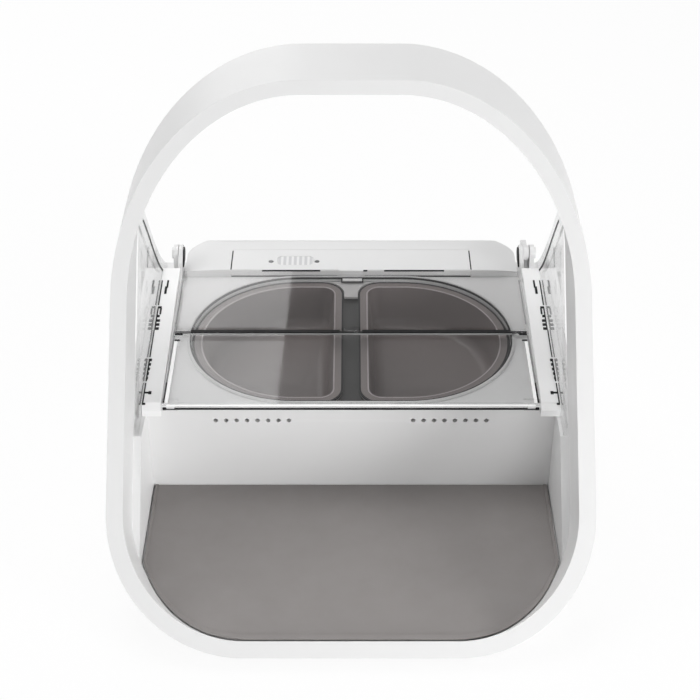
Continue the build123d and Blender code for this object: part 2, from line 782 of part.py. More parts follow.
def panel_with_knuckles(y0, y1, own, other, toward):
    """Flat panel from y0 to y1, knuckled on the fold line; toward is +1 in front of it."""
    with BuildPart() as panel:
        box_between(-LID_HALF, LID_HALF, y0, y1, LID_UNDER, LID_UNDER + LID_THICK)
        for x0, x1 in other:
            reach = FOLD_BARREL + RUN_GAP
            box_between(
                x0 - math.copysign(RUN_GAP, x1 - x0),
                x1 + math.copysign(RUN_GAP, x1 - x0),
                FOLD_Y - reach,
                FOLD_Y + reach,
                0,
                FAR,
                mode=Mode.SUBTRACT,
            )
        for x0, x1 in own:
            rod_x(x0, x1, FOLD_Y, FOLD_Z, 2 * FOLD_BARREL)
            leaf_y = FOLD_Y - toward * 4.0
            box_between(x0, x1, FOLD_Y, leaf_y, LID_UNDER - 0.2, FOLD_Z + FOLD_BARREL - 0.2)
            rod_x(x0, x1, FOLD_Y, FOLD_Z, FOLD_PIN + 2 * PIN_FIT, mode=Mode.SUBTRACT)
    return panel


def lid_front_panel():
    with BuildPart() as panel:
        add(panel_with_knuckles(LID_FRONT_Y, FOLD_Y - FOLD_GAP, front_knuckles(), rear_knuckles(), 1).part)
        # finger lip along the front edge
        lip_top = LID_UNDER + LID_THICK + LIP_HIGH
        box_between(2 - LID_HALF, LID_HALF - 2, LID_FRONT_Y, LID_FRONT_Y + LIP_WIDE, LID_UNDER, lip_top)
        for side in (-1, 1):
            # boss that holds the guide pin
            box_between(
                side * (LID_HALF - 8), side * LID_HALF, LID_FRONT_Y, GUIDE_Y + 3.2, GUIDE_Z - 2.2, GUIDE_Z + 2.2
            )
            rod_x(side * (LID_HALF - 6), side * FAR, GUIDE_Y, GUIDE_Z, GUIDE_PIN + 0.02, mode=Mode.SUBTRACT)
    return panel


def lid_rear_panel():
    with BuildPart() as panel:
        add(panel_with_knuckles(FOLD_Y + FOLD_GAP, LID_REAR_Y, rear_knuckles(), front_knuckles(), -1).part)
        for side in (-1, 1):
            box_between(
                side * (LID_HALF - 4), side * ARM_OUT, ARM_FRONT_Y, LID_REAR_Y, LID_UNDER, LID_UNDER + LID_THICK
            )
            with BuildSketch(Plane.YZ.offset(side * ARM_IN)):
                with BuildLine():
                    Polyline(
                        (ARM_FRONT_Y, LID_UNDER),
                        (LID_REAR_Y + 2, LID_UNDER),
                        (HINGE_Y + HINGE_BOSS * 0.9, HINGE_Z - HINGE_BOSS * 0.45),
                        (HINGE_Y - HINGE_BOSS * 0.6, HINGE_Z + HINGE_BOSS * 0.8),
                        (ARM_FRONT_Y, LID_UNDER + LID_THICK),
                        close=True,
                    )
                make_face()
            extrude(amount=side * (ARM_OUT - ARM_IN))
            rod_x(side * ARM_IN, side * ARM_OUT, HINGE_Y, HINGE_Z, 2 * HINGE_BOSS)
            rod_x(side * (ARM_IN - 1), side * (ARM_OUT + 1), HINGE_Y, HINGE_Z, HINGE_PIN + 2 * PIN_FIT, mode=Mode.SUBTRACT)
    return panel


def fold_pins():
    """One rod through every knuckle."""
    with BuildPart() as pins:
        rod_x(0.2 - KNUCKLE_OUT, KNUCKLE_OUT - 0.2, FOLD_Y, FOLD_Z, FOLD_PIN)
    return pins


def guide_pin(side):
    with BuildPart() as pin:
        rod_x(side * (LID_HALF - 6), side * GUIDE_OUT, GUIDE_Y, GUIDE_Z, GUIDE_PIN)
    return pin


def side_rail(side):
    """Upright rail with the straight slot that the guide pin runs in."""
    start = GUIDE_Y - 1.0
    finish = HINGE_Y - OPEN_REACH * math.cos(RAIL_TILT)
    slot_wide = GUIDE_PIN + 2 * SLOT_FIT
    slope = math.tan(RAIL_TILT)

    def track(y):
        return HINGE_Z - (HINGE_Y - y) * slope

    with BuildPart() as rail:
        with BuildSketch(Plane.YZ.offset(side * RAIL_IN)):
            with BuildLine():
                Polyline(
                    (RAIL_FRONT_Y, DECK_Z),
                    (RAIL_REAR_Y, DECK_Z),
                    (RAIL_REAR_Y, track(RAIL_REAR_Y) + RAIL_COVER),
                    (RAIL_FRONT_Y + 3, track(RAIL_FRONT_Y) + RAIL_COVER),
                    (RAIL_FRONT_Y, track(RAIL_FRONT_Y)),
                    close=True,
                )
            make_face()
        extrude(amount=side * (RAIL_OUT - RAIL_IN))
        middle = ((start + finish) / 2, (track(start) + track(finish)) / 2)
        length = math.hypot(finish - start, track(finish) - track(start)) + slot_wide
        with BuildSketch(Plane.YZ.offset(side * RAIL_IN)):
            with Locations(Location(middle, math.degrees(RAIL_TILT))):
                SlotOverall(length, slot_wide)
        extrude(amount=side * (GUIDE_OUT + 0.4 - RAIL_IN), mode=Mode.SUBTRACT)
        # the front stretch ahead of the riser has nothing under it
        box_between(side * 90, side * INNER_WALL, -FAR, RISER_Y, 0, DECK_Z, mode=Mode.SUBTRACT)
    return rail


GUARD_PROFILE = ((8.3, 142.3), (31.7, 112.6), (53.2, 85.7), (81.0, 63.8))


def guard_sheet(shift, x0, x1):
    """Upright sheet behind the hoop, its curved back edge moved by shift."""
    low = hoop_front(DECK_Z) + HOOP_DEPTH + SEAM
    apex_y, apex_z = GUARD_PROFILE[0]
    rise = shift * 0.75
    apex_z = apex_z + rise
    apex_y = hoop_front(apex_z) + HOOP_DEPTH + SEAM
    with BuildPart() as sheet:
        with BuildSketch(Plane.YZ.offset(x0)):
            with BuildLine():
                Line((low, DECK_Z), (apex_y, apex_z))
                Spline(
                    (apex_y, apex_z),
                    *[(y + shift * 0.55, z + rise * 0.9) for y, z in GUARD_PROFILE[1:3]],
                    (GUARD_PROFILE[3][0] + shift, GUARD_PROFILE[3][1]),
                )
                Line((GUARD_PROFILE[3][0] + shift, GUARD_PROFILE[3][1]), (GUARD_PROFILE[3][0] + shift, DECK_Z))
                Line((GUARD_PROFILE[3][0] + shift, DECK_Z), (low, DECK_Z))
            make_face()
        extrude(amount=x1 - x0)
    return sheet.part


def side_guard(side):
    inner = side * GUARD_IN
    outer = side * (GUARD_IN + GUARD_THICK)
    with BuildPart() as guard:
        add(guard_sheet(0, inner, outer))
        add(guard_sheet(GUARD_LIP, side * (GUARD_IN + GUARD_THICK * 0.4), outer))
        # foot flange and its snap blocks
        flange = (inner, side * (GUARD_IN + GUARD_THICK + 1.0))
        box_between(*flange, -60, 74, DECK_Z, DECK_Z + 1.4)
        for y0, y1 in ((22, 31), (-23, -16), (-43, -34)):
            box_between(*flange, y0, y1, DECK_Z, DECK_Z + 5)
    return guard


def hinge_bracket(side):
    """Cheek outside the lid's arm that holds the hinge pin."""
    inner = ARM_OUT + RUN_GAP if side < 0 else SECTOR_IN + SECTOR_THICK + RUN_GAP
    outer = inner + 2.6
    with BuildPart() as bracket:
        with BuildSketch(Plane.YZ.offset(side * inner)):
            with BuildLine():
                Polyline(
                    (HINGE_Y - 8, DECK_Z),
                    (HINGE_Y + 9, DECK_Z),
                    (HINGE_Y + 4.2, HINGE_Z + 1.4),
                    (HINGE_Y - 4.2, HINGE_Z + 1.4),
                    close=True,
                )
            make_face()
        extrude(amount=side * (outer - inner))
        rod_x(side * inner, side * outer, HINGE_Y, HINGE_Z, 9.2)
        box_between(side * inner, side * (outer + 0.8), HINGE_Y - 8, HINGE_Y + 9, DECK_Z, DECK_Z + 2)
        rod_x(side * (inner - 1), side * (outer + 1), HINGE_Y, HINGE_Z, HINGE_PIN + 0.02, mode=Mode.SUBTRACT)
    return bracket


def hinge_pin(side):
    outer = ARM_OUT + RUN_GAP if side < 0 else SECTOR_IN + SECTOR_THICK + RUN_GAP
    with BuildPart() as pin:
        rod_x(side * (ARM_IN + 0.2), side * (outer + 2.6), HINGE_Y, HINGE_Z, HINGE_PIN)
        rod_x(side * (outer + 2.6), side * (outer + 3.6), HINGE_Y, HINGE_Z, HINGE_PIN + 2.4)
    return pin


# Lid drive


def tooth_ring(teeth, module, phase, count, root):
    """Straight-flanked teeth round the origin; phase is the first tooth's angle."""
    pitch = module * teeth / 2
    half = TOOTH_HALF * module
    flank = math.tan(math.radians(20))
    tip = pitch + 0.85 * module
    tip_half = half - 0.85 * module * flank
    root_half = half + (pitch - root) * flank * 0.7
    for index in range(count):
        angle = phase + index * 360 / teeth
        with Locations(Location((0, 0), angle)):
            Polygon((root - 0.3, -root_half), (tip, -tip_half), (tip, tip_half), (root - 0.3, root_half), align=None)


def spur_gear(teeth, module, phase):
    """Sketch of a full spur gear at the origin."""
    root = module * teeth / 2 - 1.15 * module
    with BuildSketch() as gear:
        Circle(root)
        tooth_ring(teeth, module, phase, teeth, root)
    return gear.sketch


def plane_x(x, y, z):
    """Plane facing +X at a point, its own x along +Y and its own y along +Z."""
    return Plane(origin=(x, y, z), x_dir=(0, 1, 0), z_dir=(1, 0, 0))


def drive_sector():
    """Toothed sector on the lid's right arm, teeth from straight down round to the back."""
    pitch = SECTOR_MODULE * SECTOR_TEETH / 2
    root = pitch - 1.15 * SECTOR_MODULE
    step = 360 / SECTOR_TEETH
    count = int(LID_OPEN / step) + 3
    first = -90 - step
    last = first + (count - 1) * step
    edge = root + 0.3
    with BuildPart() as sector:
        with BuildSketch(plane_x(SECTOR_IN, HINGE_Y, HINGE_Z)):
            with BuildLine():
                start = (edge * math.cos(math.radians(first - 5)), edge * math.sin(math.radians(first - 5)))
                Line((0, 0), start)
                CenterArc((0, 0), edge, first - 5, last - first + 10)
                finish = (edge * math.cos(math.radians(last + 5)), edge * math.sin(math.radians(last + 5)))
                Line(finish, (0, 0))
            make_face()
            Circle(HINGE_BOSS)
            tooth_ring(SECTOR_TEETH, SECTOR_MODULE, first, count, root)
            Circle(HINGE_PIN / 2 + PIN_FIT, mode=Mode.SUBTRACT)
        extrude(amount=SECTOR_THICK)
    return sector


def reduction_gear():
    """Wheel and pinion on one shaft under the deck."""
    wheel_phase = math.degrees(MOTOR_ANGLE)
    drive_phase = 90 + 180 / DRIVE_TEETH
    with BuildPart() as gear:
        with BuildSketch(plane_x(WHEEL_X, GEAR_Y, GEAR_Z)):
            add(spur_gear(WHEEL_TEETH, WHEEL_MODULE, wheel_phase))
        extrude(amount=WHEEL_THICK)
        with BuildSketch(plane_x(SECTOR_IN, GEAR_Y, GEAR_Z)):
            add(spur_gear(DRIVE_TEETH, SECTOR_MODULE, drive_phase))
        extrude(amount=SECTOR_THICK)
        rod_x(WHEEL_X, SECTOR_IN, GEAR_Y, GEAR_Z, 5.0)
        rod_x(FRAME_IN + 0.2, SECTOR_IN + SECTOR_THICK + 1, GEAR_Y, GEAR_Z, 3.0)
    return gear


def motor_pinion():
    phase = math.degrees(MOTOR_ANGLE) + 180 + 180 / MOTOR_TEETH
    with BuildPart() as pinion:
        with BuildSketch(plane_x(WHEEL_X, MOTOR_Y, MOTOR_Z)):
            add(spur_gear(MOTOR_TEETH, WHEEL_MODULE, phase))
        extrude(amount=WHEEL_THICK)
        rod_x(FRAME_IN - 6, WHEEL_X, MOTOR_Y, MOTOR_Z, 2.0)
    return pinion


def drive_motor():
    back = FRAME_IN - MOTOR_LONG
    with BuildPart() as motor:
        rod_x(back, FRAME_IN, MOTOR_Y, MOTOR_Z, MOTOR_DIA)
        fillet(motor.edges().filter_by(GeomType.CIRCLE), 1.5)
        rod_x(back - 2.5, back, MOTOR_Y, MOTOR_Z, 7.0)
        rod_x(FRAME_IN - 8, FRAME_IN, MOTOR_Y, MOTOR_Z, 2.0 + 2 * PIN_FIT, mode=Mode.SUBTRACT)
    return motor


def gear_frame():
    """Two plates and a bridge that carry the motor and the reduction gear."""
    y0, y1 = HINGE_Y - 14, MOTOR_Y + MOTOR_DIA / 2 + 3
    z0, z1 = MOTOR_Z - MOTOR_DIA / 2 - 3, FRAME_TOP
    with BuildPart() as frame:
        box_between(FRAME_IN, FRAME_IN + FRAME_PLATE, y0, y1, z0, z1)
        box_between(FRAME_OUT - FRAME_PLATE, FRAME_OUT, y0, y1, z0, z1)
        box_between(FRAME_IN, FRAME_OUT, y0, y1, z0, z0 + FRAME_PLATE)
        # standing legs down to the bottom plate
        for y in (y0, y1 - 6):
            box_between(FRAME_IN, FRAME_OUT, y, y + 6, BASE_Z + SKIN, z0)
        rod_x(FRAME_IN - 1, FRAME_OUT + 1, GEAR_Y, GEAR_Z, 3.0 + 2 * PIN_FIT, mode=Mode.SUBTRACT)
        rod_x(FRAME_OUT - FRAME_PLATE - 1, FRAME_OUT + 1, GEAR_Y, GEAR_Z, 5.0 + 2 * RUN_GAP, mode=Mode.SUBTRACT)
        rod_x(FRAME_IN - 1, FRAME_IN + FRAME_PLATE + 1, MOTOR_Y, MOTOR_Z, 2.0 + 2 * RUN_GAP, mode=Mode.SUBTRACT)
    return frame


# Underside, power, boards and controls


def bottom_plate():
    top = BASE_Z + SKIN
    with BuildPart() as plate:
        with BuildSketch(Plane.XY.offset(BASE_Z)):
            add(plan_outline(SKIN + SEAM, 0, PLAN_FRONT_X, PLAN_FRONT_Y))
        extrude(amount=SKIN)
        add(leaning_slab(HOOP_DEPTH + SEAM, HOOP_DEPTH + 2 * FAR), mode=Mode.INTERSECT)
        add(foot_prism(SKIN + SEAM, SKIN + SEAM), mode=Mode.INTERSECT)
        for x, y in SCREW_PLACES:
            with Locations((x, y, BASE_Z + SKIN / 2)):
                Cylinder(SCREW_DIA / 2 + 0.01, SKIN, mode=Mode.SUBTRACT)
            with Locations((x, y, BASE_Z + 0.75)):
                Cylinder(SCREW_HEAD / 2 + 0.01, 1.5, mode=Mode.SUBTRACT)
        for side in (-1, 1):
            x0, x1 = side * BAY_X - BAY_HALF_X, side * BAY_X + BAY_HALF_X
            # walls of the cell bay, open below
            box_between(x0, x1, BAY_Y - BAY_HALF_Y, BAY_Y + BAY_HALF_Y, top, top + CELL_DIA - 3)
            box_between(
                x0 + BAY_WALL,
                x1 - BAY_WALL,
                BAY_Y - BAY_HALF_Y + BAY_WALL,
                BAY_Y + BAY_HALF_Y - BAY_WALL,
                0,
                FAR,
                mode=Mode.SUBTRACT,
            )
            # recess that the door slides back in
            inner = BAY_HALF_Y - BAY_WALL
            box_between(
                x0 + BAY_WALL - DOOR_LAP,
                x1 - BAY_WALL + DOOR_LAP,
                BAY_Y - inner - DOOR_LAP,
                BAY_Y + inner + DOOR_LAP + DOOR_SLIDE,
                0,
                BASE_Z + DOOR_RECESS,
                mode=Mode.SUBTRACT,
            )
    return plate


def battery_door(side):
    half_x = BAY_HALF_X - BAY_WALL + DOOR_LAP - SEAM
    half_y = BAY_HALF_Y - BAY_WALL + DOOR_LAP - SEAM
    low = BASE_Z + SEAM
    middle = side * BAY_X
    with BuildPart() as door:
        box_between(middle - half_x, middle + half_x, BAY_Y - half_y, BAY_Y + half_y, low, BASE_Z + DOOR_RECESS - 0.1)
        # finger ribs
        for index in range(5):
            y = BAY_Y - half_y + 8 + index * 3
            box_between(middle - 10, middle + 10, y, y + 1.2, BASE_Z - SEAM, low)
    return door


def battery_cell(index):
    side = -1 if index < 2 else 1
    offset = -0.5 if index % 2 == 0 else 0.5
    x = side * BAY_X + offset * CELL_PITCH
    z = BASE_Z + SKIN + CELL_DIA / 2 + 0.4
    turn = 1 if index % 2 == 0 else -1
    nub = 1.2
    with BuildPart() as cell:
        end = BAY_Y + turn * (CELL_LONG / 2 - nub)
        rod_y(x, BAY_Y - turn * CELL_LONG / 2, end, z, CELL_DIA)
        rod_y(x, end, end + turn * nub, z, 6.6)
    return cell


def battery_contacts():
    """Spring and plate contacts at the ends of the cells."""
    z = BASE_Z + SKIN + CELL_DIA / 2 + 0.4
    with BuildPart() as contacts:
        for side in (-1, 1):
            for end in (-1, 1):
                plate_y = BAY_Y + end * (BAY_HALF_Y - 1.7)
                box_between(
                    side * BAY_X - CELL_PITCH / 2 - 8,
                    side * BAY_X + CELL_PITCH / 2 + 8,
                    plate_y,
                    plate_y - end * 0.5,
                    z - 7,
                    z + 7,
                )
                for offset in (-0.5, 0.5):
                    x = side * BAY_X + offset * CELL_PITCH
                    rod_y(x, plate_y, BAY_Y + end * (CELL_LONG / 2 + 0.3), z, 5.0)
    return contacts


def board_leg(x, y, top):
    """Square leg from the bottom plate up to a board, in the part being built."""
    box_between(x, x + BOARD_LEG, y, y + BOARD_LEG, BASE_Z + SKIN, top)


def circuit_board():
    top = BOARD_Z + BOARD_THICK
    left = BOARD_X - BOARD_WIDE / 2
    right = BOARD_X + BOARD_WIDE / 2
    back = REAR - BOARD_BEHIND
    front = back - BOARD_DEEP
    middle = (front + back) / 2
    with BuildPart() as board:
        box_between(left, right, front, back, BOARD_Z, top)
        # controller, driver, three capacitors and a plug
        box_between(left + 12, left + 30, middle - 9, middle + 5, top, top + 2.2)
        box_between(left + 42, left + 50, middle - 8, middle, top, top + 1.4)
        for index in range(3):
            with Locations((BOARD_X + 9 + index * 10, middle + 6, top + 4)):
                Cylinder(3.2, 8)
        box_between(right - 16, right - 4, front + 4, front + 16, top, top + 6)
        for x in (left + 2, right - 2 - BOARD_LEG):
            for y in (front + 2, back - 2 - BOARD_LEG):
                board_leg(x, y, BOARD_Z)
    return board


def indicator_board():
    low = DECK_Z - 2.0
    top = low + BOARD_THICK
    left = LAMP_X[0] - 4.4
    right = LAMP_X[1] + 5.4
    front = WINDOW_Y - WINDOW_WIDE / 2 - 1.9
    back = WINDOW_Y + WINDOW_WIDE / 2 + 2.7
    with BuildPart() as board:
        box_between(left, right, front, back, low, top)
        # one light under each bar of the window and under each lens
        for index in range(6):
            x = WINDOW_X + (index - 2.5) * 3
            box_between(x - 0.8, x + 0.8, WINDOW_Y - 1.2, WINDOW_Y + 1.2, top, top + 1)
        for x in LAMP_X:
            box_between(x - 1, x + 1, LAMP_Y - 1, LAMP_Y + 1, top, top + 1)
        for x in (left + 1, right - 1 - BOARD_LEG):
            board_leg(x, WINDOW_Y, low)
    return board


def button_board():
    y = REAR - SKIN - 9
    switch = y + 3.2
    reach = BUTTON_X[-1] + 14
    with BuildPart() as board:
        box_between(-reach, reach, y - BOARD_THICK, y, BASE_Z + SKIN, BUTTON_Z + BUTTON_DIA)
        for x in BUTTON_X:
            box_between(x - 3, x + 3, y, switch, BUTTON_Z - 3, BUTTON_Z + 3)
            rod_y(x, switch, switch + 0.6, BUTTON_Z, 3.4)
    return board


def push_button(x):
    with BuildPart() as button:
        rod_y(x, REAR - SKIN - 1.2, REAR - 0.2, BUTTON_Z, BUTTON_DIA)
        fillet(button.edges().filter_by(GeomType.CIRCLE).sort_by(Axis.Y)[-1], 0.8)
        rod_y(x, REAR - SKIN - 1.5, REAR - SKIN - 0.1, BUTTON_Z, BUTTON_DIA + 2.4)
        rod_y(x, REAR - SKIN - 3.4, REAR - SKIN - 1.4, BUTTON_Z, 3.0)
    return button


def rubber_foot(x, y):
    with BuildPart() as foot:
        with Locations((x, y, BASE_Z / 2)):
            Cylinder(FOOT_DIA / 2, BASE_Z)
        chamfer(foot.edges().group_by(Axis.Z)[0], 0.6)
    return foot


def case_screws():
    """Screws from below: heads sunk in the bottom plate, shanks up in the bosses."""
    head_low = BASE_Z + 0.3
    with BuildPart() as screws:
        for x, y in SCREW_PLACES:
            top = FLOOR_Z - SKIN if y < RISER_Y else SCREW_TOP
            with Locations((x, y, head_low + 0.6)):
                Cylinder(SCREW_HEAD / 2, 1.2)
            with Locations((x, y, (head_low + top) / 2)):
                Cylinder(SCREW_DIA / 2, top - head_low)
    return screws


save(hoop_outer_shell(), "hoop_outer_shell")
save(hoop_inner_shell(), "hoop_inner_shell")
save(antenna_coil(), "antenna_coil")
save(body_shell(), "body_shell")
save(deck_panel(), "deck_panel")
save(floor_mat(), "floor_mat")
save(rear_housing(), "rear_housing")
save(access_cover(), "access_cover")
save(indicator_window(), "indicator_window")
save(indicator_lamp(LAMP_X[0]), "indicator_lamp_left")
save(indicator_lamp(LAMP_X[1]), "indicator_lamp_right")
save(bowl_tray(), "bowl_tray")
save(lid_seal(), "lid_seal")
save(lid_front_panel(), "lid_front_panel")
save(lid_rear_panel(), "lid_rear_panel")
save(fold_pins(), "fold_pins")
for label, way in (("left", -1), ("right", 1)):
    save(food_bowl(way), f"bowl_{label}")
    save(guide_pin(way), f"guide_pin_{label}")
    save(side_rail(way), f"side_rail_{label}")
    save(side_guard(way), f"side_guard_{label}")
    save(hinge_bracket(way), f"hinge_bracket_{label}")
    save(hinge_pin(way), f"hinge_pin_{label}")
    save(battery_door(way), f"battery_door_{label}")
save(drive_sector(), "drive_sector")
save(reduction_gear(), "reduction_gear")
save(motor_pinion(), "motor_pinion")
save(drive_motor(), "drive_motor")
save(gear_frame(), "gear_frame")
save(bottom_plate(), "bottom_plate")
for number in range(4):
    save(battery_cell(number), f"battery_cell_{number + 1}")
save(battery_contacts(), "battery_contacts")
save(circuit_board(), "circuit_board")
save(indicator_board(), "indicator_board")
save(button_board(), "button_board")
for label, x in zip(("add_pet", "open_close", "training"), BUTTON_X):
    save(push_button(x), f"button_{label}")
for number, (x, y) in enumerate(FOOT_PLACES, start=1):
    save(rubber_foot(x, y), f"rubber_foot_{number}")
save(case_screws(), "case_screws")
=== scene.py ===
import json
import math

import bmesh
import bpy
from mathutils import Euler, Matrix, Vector


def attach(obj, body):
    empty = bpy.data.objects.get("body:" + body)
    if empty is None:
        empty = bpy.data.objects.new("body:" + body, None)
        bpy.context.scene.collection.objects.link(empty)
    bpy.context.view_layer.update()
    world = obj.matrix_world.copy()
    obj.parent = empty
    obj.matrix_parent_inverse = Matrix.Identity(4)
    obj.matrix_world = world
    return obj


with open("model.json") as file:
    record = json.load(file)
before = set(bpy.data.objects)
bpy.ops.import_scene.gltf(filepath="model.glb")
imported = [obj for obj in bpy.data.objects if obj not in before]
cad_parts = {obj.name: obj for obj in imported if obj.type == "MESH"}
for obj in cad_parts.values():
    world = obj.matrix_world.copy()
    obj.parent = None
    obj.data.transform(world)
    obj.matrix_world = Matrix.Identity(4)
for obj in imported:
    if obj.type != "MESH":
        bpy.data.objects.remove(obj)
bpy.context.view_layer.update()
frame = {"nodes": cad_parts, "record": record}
nodes = frame["nodes"]

MM = 0.001
WHITE = (1, 1, 1, 1)

# Camera: a product view from the front and above
CAMERA_PLACE = (0.0, -0.6495, 0.5346)
CAMERA_TILT = math.radians(54.2)
CAMERA_LENS = 78.33
CAMERA_SENSOR = 36.0
CAMERA_SHIFT_X = -0.0014

# Lamps: each looks at the target, as (name, place, size, power); the card has its own turn
LAMP_TARGET = (0, 0, 0.06)
LAMPS = (
    ("top", (-0.2, 0.5, 1.5), 1.0, 12.0),
    ("front", (0.3, -1.4, 0.35), 0.6, 6.2),
    ("right", (1.25, -0.8, 0.36), 0.6, 14.4),
    ("left", (-1.2, -0.5, 0.9), 0.8, 5.6),
)
CARD_PLACE = (-0.3872, 1.0, 0.7425)
CARD_TURN = (math.radians(-90), math.radians(-6.9), 0)
CARD_WIDE, CARD_TALL, CARD_POWER = 0.6, 0.7, 2.3
WORLD_LEVEL = 0.46
FLOOR_HALF = 3.0

# Places that the frame's solids give, in millimetres
RISER_BACK_Y = -42.5
HOLE_ROW_X = 50.0
HOLE_ROW_Z = 54.6
LID_HALF = 94.5
LID_TOP = 66.8
LID_UNDER = 64.6
LID_FRONT_Y = -48.4
FOLD_Y = 18.5
HINGE_Y = 83.5
HINGE_Z = 74.0
RAIL_SLOPE = 0.0635
RAIL_TOP_AT_HINGE = 77.0
GUARD_IN = 104.6
HOOP_FOOT_Z = 12.0
HOOP_FOOT_BACK_Y = -112.6
HOOP_LEAN = math.radians(46.9)
HOUSING_TOP = 66.8
HOUSING_Y = 77.0
COVER_HALF = 68.0
DECK_Z = 62.0
BOWL_RIM_Z = 60.6

# ---------------------------------------------------------------- shader nodes

# Sockets of a Mix node that blends colours
MIX_A, MIX_B, MIX_RESULT = 6, 7, 2


def feed(owner, node, inputs):
    """Set a node's inputs by name or number: an output is linked, and a plain value is set."""
    for key, value in inputs.items():
        if isinstance(value, bpy.types.NodeSocket):
            owner.node_tree.links.new(value, node.inputs[key])
        else:
            node.inputs[key].default_value = value


def add_node(owner, kind, inputs, **settings):
    """A new node of a material or of the world."""
    node = owner.node_tree.nodes.new(kind)
    for key, value in settings.items():
        setattr(node, key, value)
    feed(owner, node, inputs)
    return node


def source(owner, kind, output):
    """An output of a new node that takes no inputs."""
    return owner.node_tree.nodes.new(kind).outputs[output]


def calculate(owner, operation, *values):
    """The result of a math node over outputs and numbers."""
    node = add_node(owner, "ShaderNodeMath", dict(enumerate(values)), operation=operation)
    return node.outputs[0]


def noise(owner, scale, detail=2.0, roughness=0.5):
    """Noise over the object's own coordinates, in cells per metre."""
    inputs = {
        "Vector": source(owner, "ShaderNodeTexCoord", "Object"),
        "Scale": scale,
        "Detail": detail,
        "Roughness": roughness,
    }
    return add_node(owner, "ShaderNodeTexNoise", inputs).outputs["Fac"]


def spread(owner, value, low, high, value_low=0.3, value_high=0.7):
    """The value, stretched from low to high."""
    inputs = {
        "Value": value,
        "From Min": value_low,
        "From Max": value_high,
        "To Min": low,
        "To Max": high,
    }
    return add_node(owner, "ShaderNodeMapRange", inputs).outputs["Result"]


def shade(colour, share=1.0):
    """A colour with its brightness scaled, as red, green, blue and alpha."""
    return (*(channel * share for channel in colour), 1)


def grey(level):
    return (level, level, level)


def blend_colours(owner, factor, first, second):
    """The first colour where the factor is zero, and the second one where it is one."""
    inputs = {"Factor": factor, MIX_A: first, MIX_B: second}
    return add_node(owner, "ShaderNodeMix", inputs, data_type="RGBA").outputs[MIX_RESULT]


def mix_shaders(owner, factor, first, second):
    """The first shader where the factor is zero, and the second one where it is one."""
    inputs = {"Fac": factor, 1: first, 2: second}
    return add_node(owner, "ShaderNodeMixShader", inputs).outputs["Shader"]


def bump(owner, height, strength, distance):
    """The normal of a surface that the height raises."""
    inputs = {"Height": height, "Strength": strength, "Distance": distance}
    return add_node(owner, "ShaderNodeBump", inputs).outputs["Normal"]


def seen_directly(owner):
    """One where the camera looks straight or through clear plastic, and zero elsewhere."""
    camera_ray = source(owner, "ShaderNodeLightPath", "Is Camera Ray")
    passed_ray = source(owner, "ShaderNodeLightPath", "Is Transmission Ray")
    return calculate(owner, "MAXIMUM", camera_ray, passed_ray)


# ---------------------------------------------------------------- materials


def new_material(name):
    """A material with a bare Principled shader, and that shader's node."""
    material = bpy.data.materials.new(name)
    material.use_nodes = True
    return material, material.node_tree.nodes["Principled BSDF"]


def show(material, shader):
    """Give a material's surface to a shader other than the Principled one."""
    feed(material, material.node_tree.nodes["Material Output"], {"Surface": shader})


def moulded_plastic(name, colour, worn, rough, grain, depth, coat=0.0, specular=0.5, glow=0.0):
    """Injection-moulded plastic: faint colour drift, edge wear, uneven gloss and a fine grain."""
    material, shader = new_material(name)
    drift = spread(material, noise(material, 14.0, 3.0), 0.0, 1.0)
    base = blend_colours(material, drift, shade(colour, 0.985), shade(colour))
    edges = source(material, "ShaderNodeNewGeometry", "Pointiness")
    wear = spread(material, edges, 0.0, 0.35, 0.56, 0.66)
    inputs = {
        "Base Color": blend_colours(material, wear, base, shade(worn)),
        "Roughness": spread(material, noise(material, 55.0, 4.0), *rough),
        "Normal": bump(material, noise(material, grain, 3.0, 0.6), depth, 0.0004),
        "Coat Weight": coat,
        "Coat Roughness": 0.12,
        "IOR": 1.5,
        "Specular IOR Level": specular,
        "Emission Color": WHITE,
        "Emission Strength": glow,
    }
    feed(material, shader, inputs)
    return material


def rubber(name, colour, grain, depth):
    """Soft moulded rubber with a pebbled grain."""
    material, shader = new_material(name)
    drift = spread(material, noise(material, 30.0, 4.0, 0.6), 0.0, 1.0)
    inputs = {
        "Base Color": blend_colours(material, drift, shade(colour, 0.96), shade(colour, 1.03)),
        "Roughness": spread(material, noise(material, 90.0, 3.0), 0.62, 0.8),
        "Normal": bump(material, noise(material, grain, 2.0, 0.55), depth, 0.0003),
        "Specular IOR Level": 0.35,
    }
    feed(material, shader, inputs)
    return material


def brushed_metal(name, colour, rough, stretch):
    """Metal with fine lines; stretch is the scale of their pattern along each axis."""
    material, shader = new_material(name)
    coords = source(material, "ShaderNodeTexCoord", "Object")
    place = add_node(material, "ShaderNodeMapping", {"Vector": coords, "Scale": stretch})
    inputs = {"Vector": place.outputs["Vector"], "Scale": 900.0, "Detail": 3.0}
    lines = add_node(material, "ShaderNodeTexNoise", inputs).outputs["Fac"]
    inputs = {
        "Base Color": blend_colours(material, lines, shade(colour, 0.85), shade(colour)),
        "Roughness": spread(material, lines, *rough),
        "Normal": bump(material, lines, 0.15, 0.0001),
        "Metallic": 1.0,
    }
    feed(material, shader, inputs)
    return material


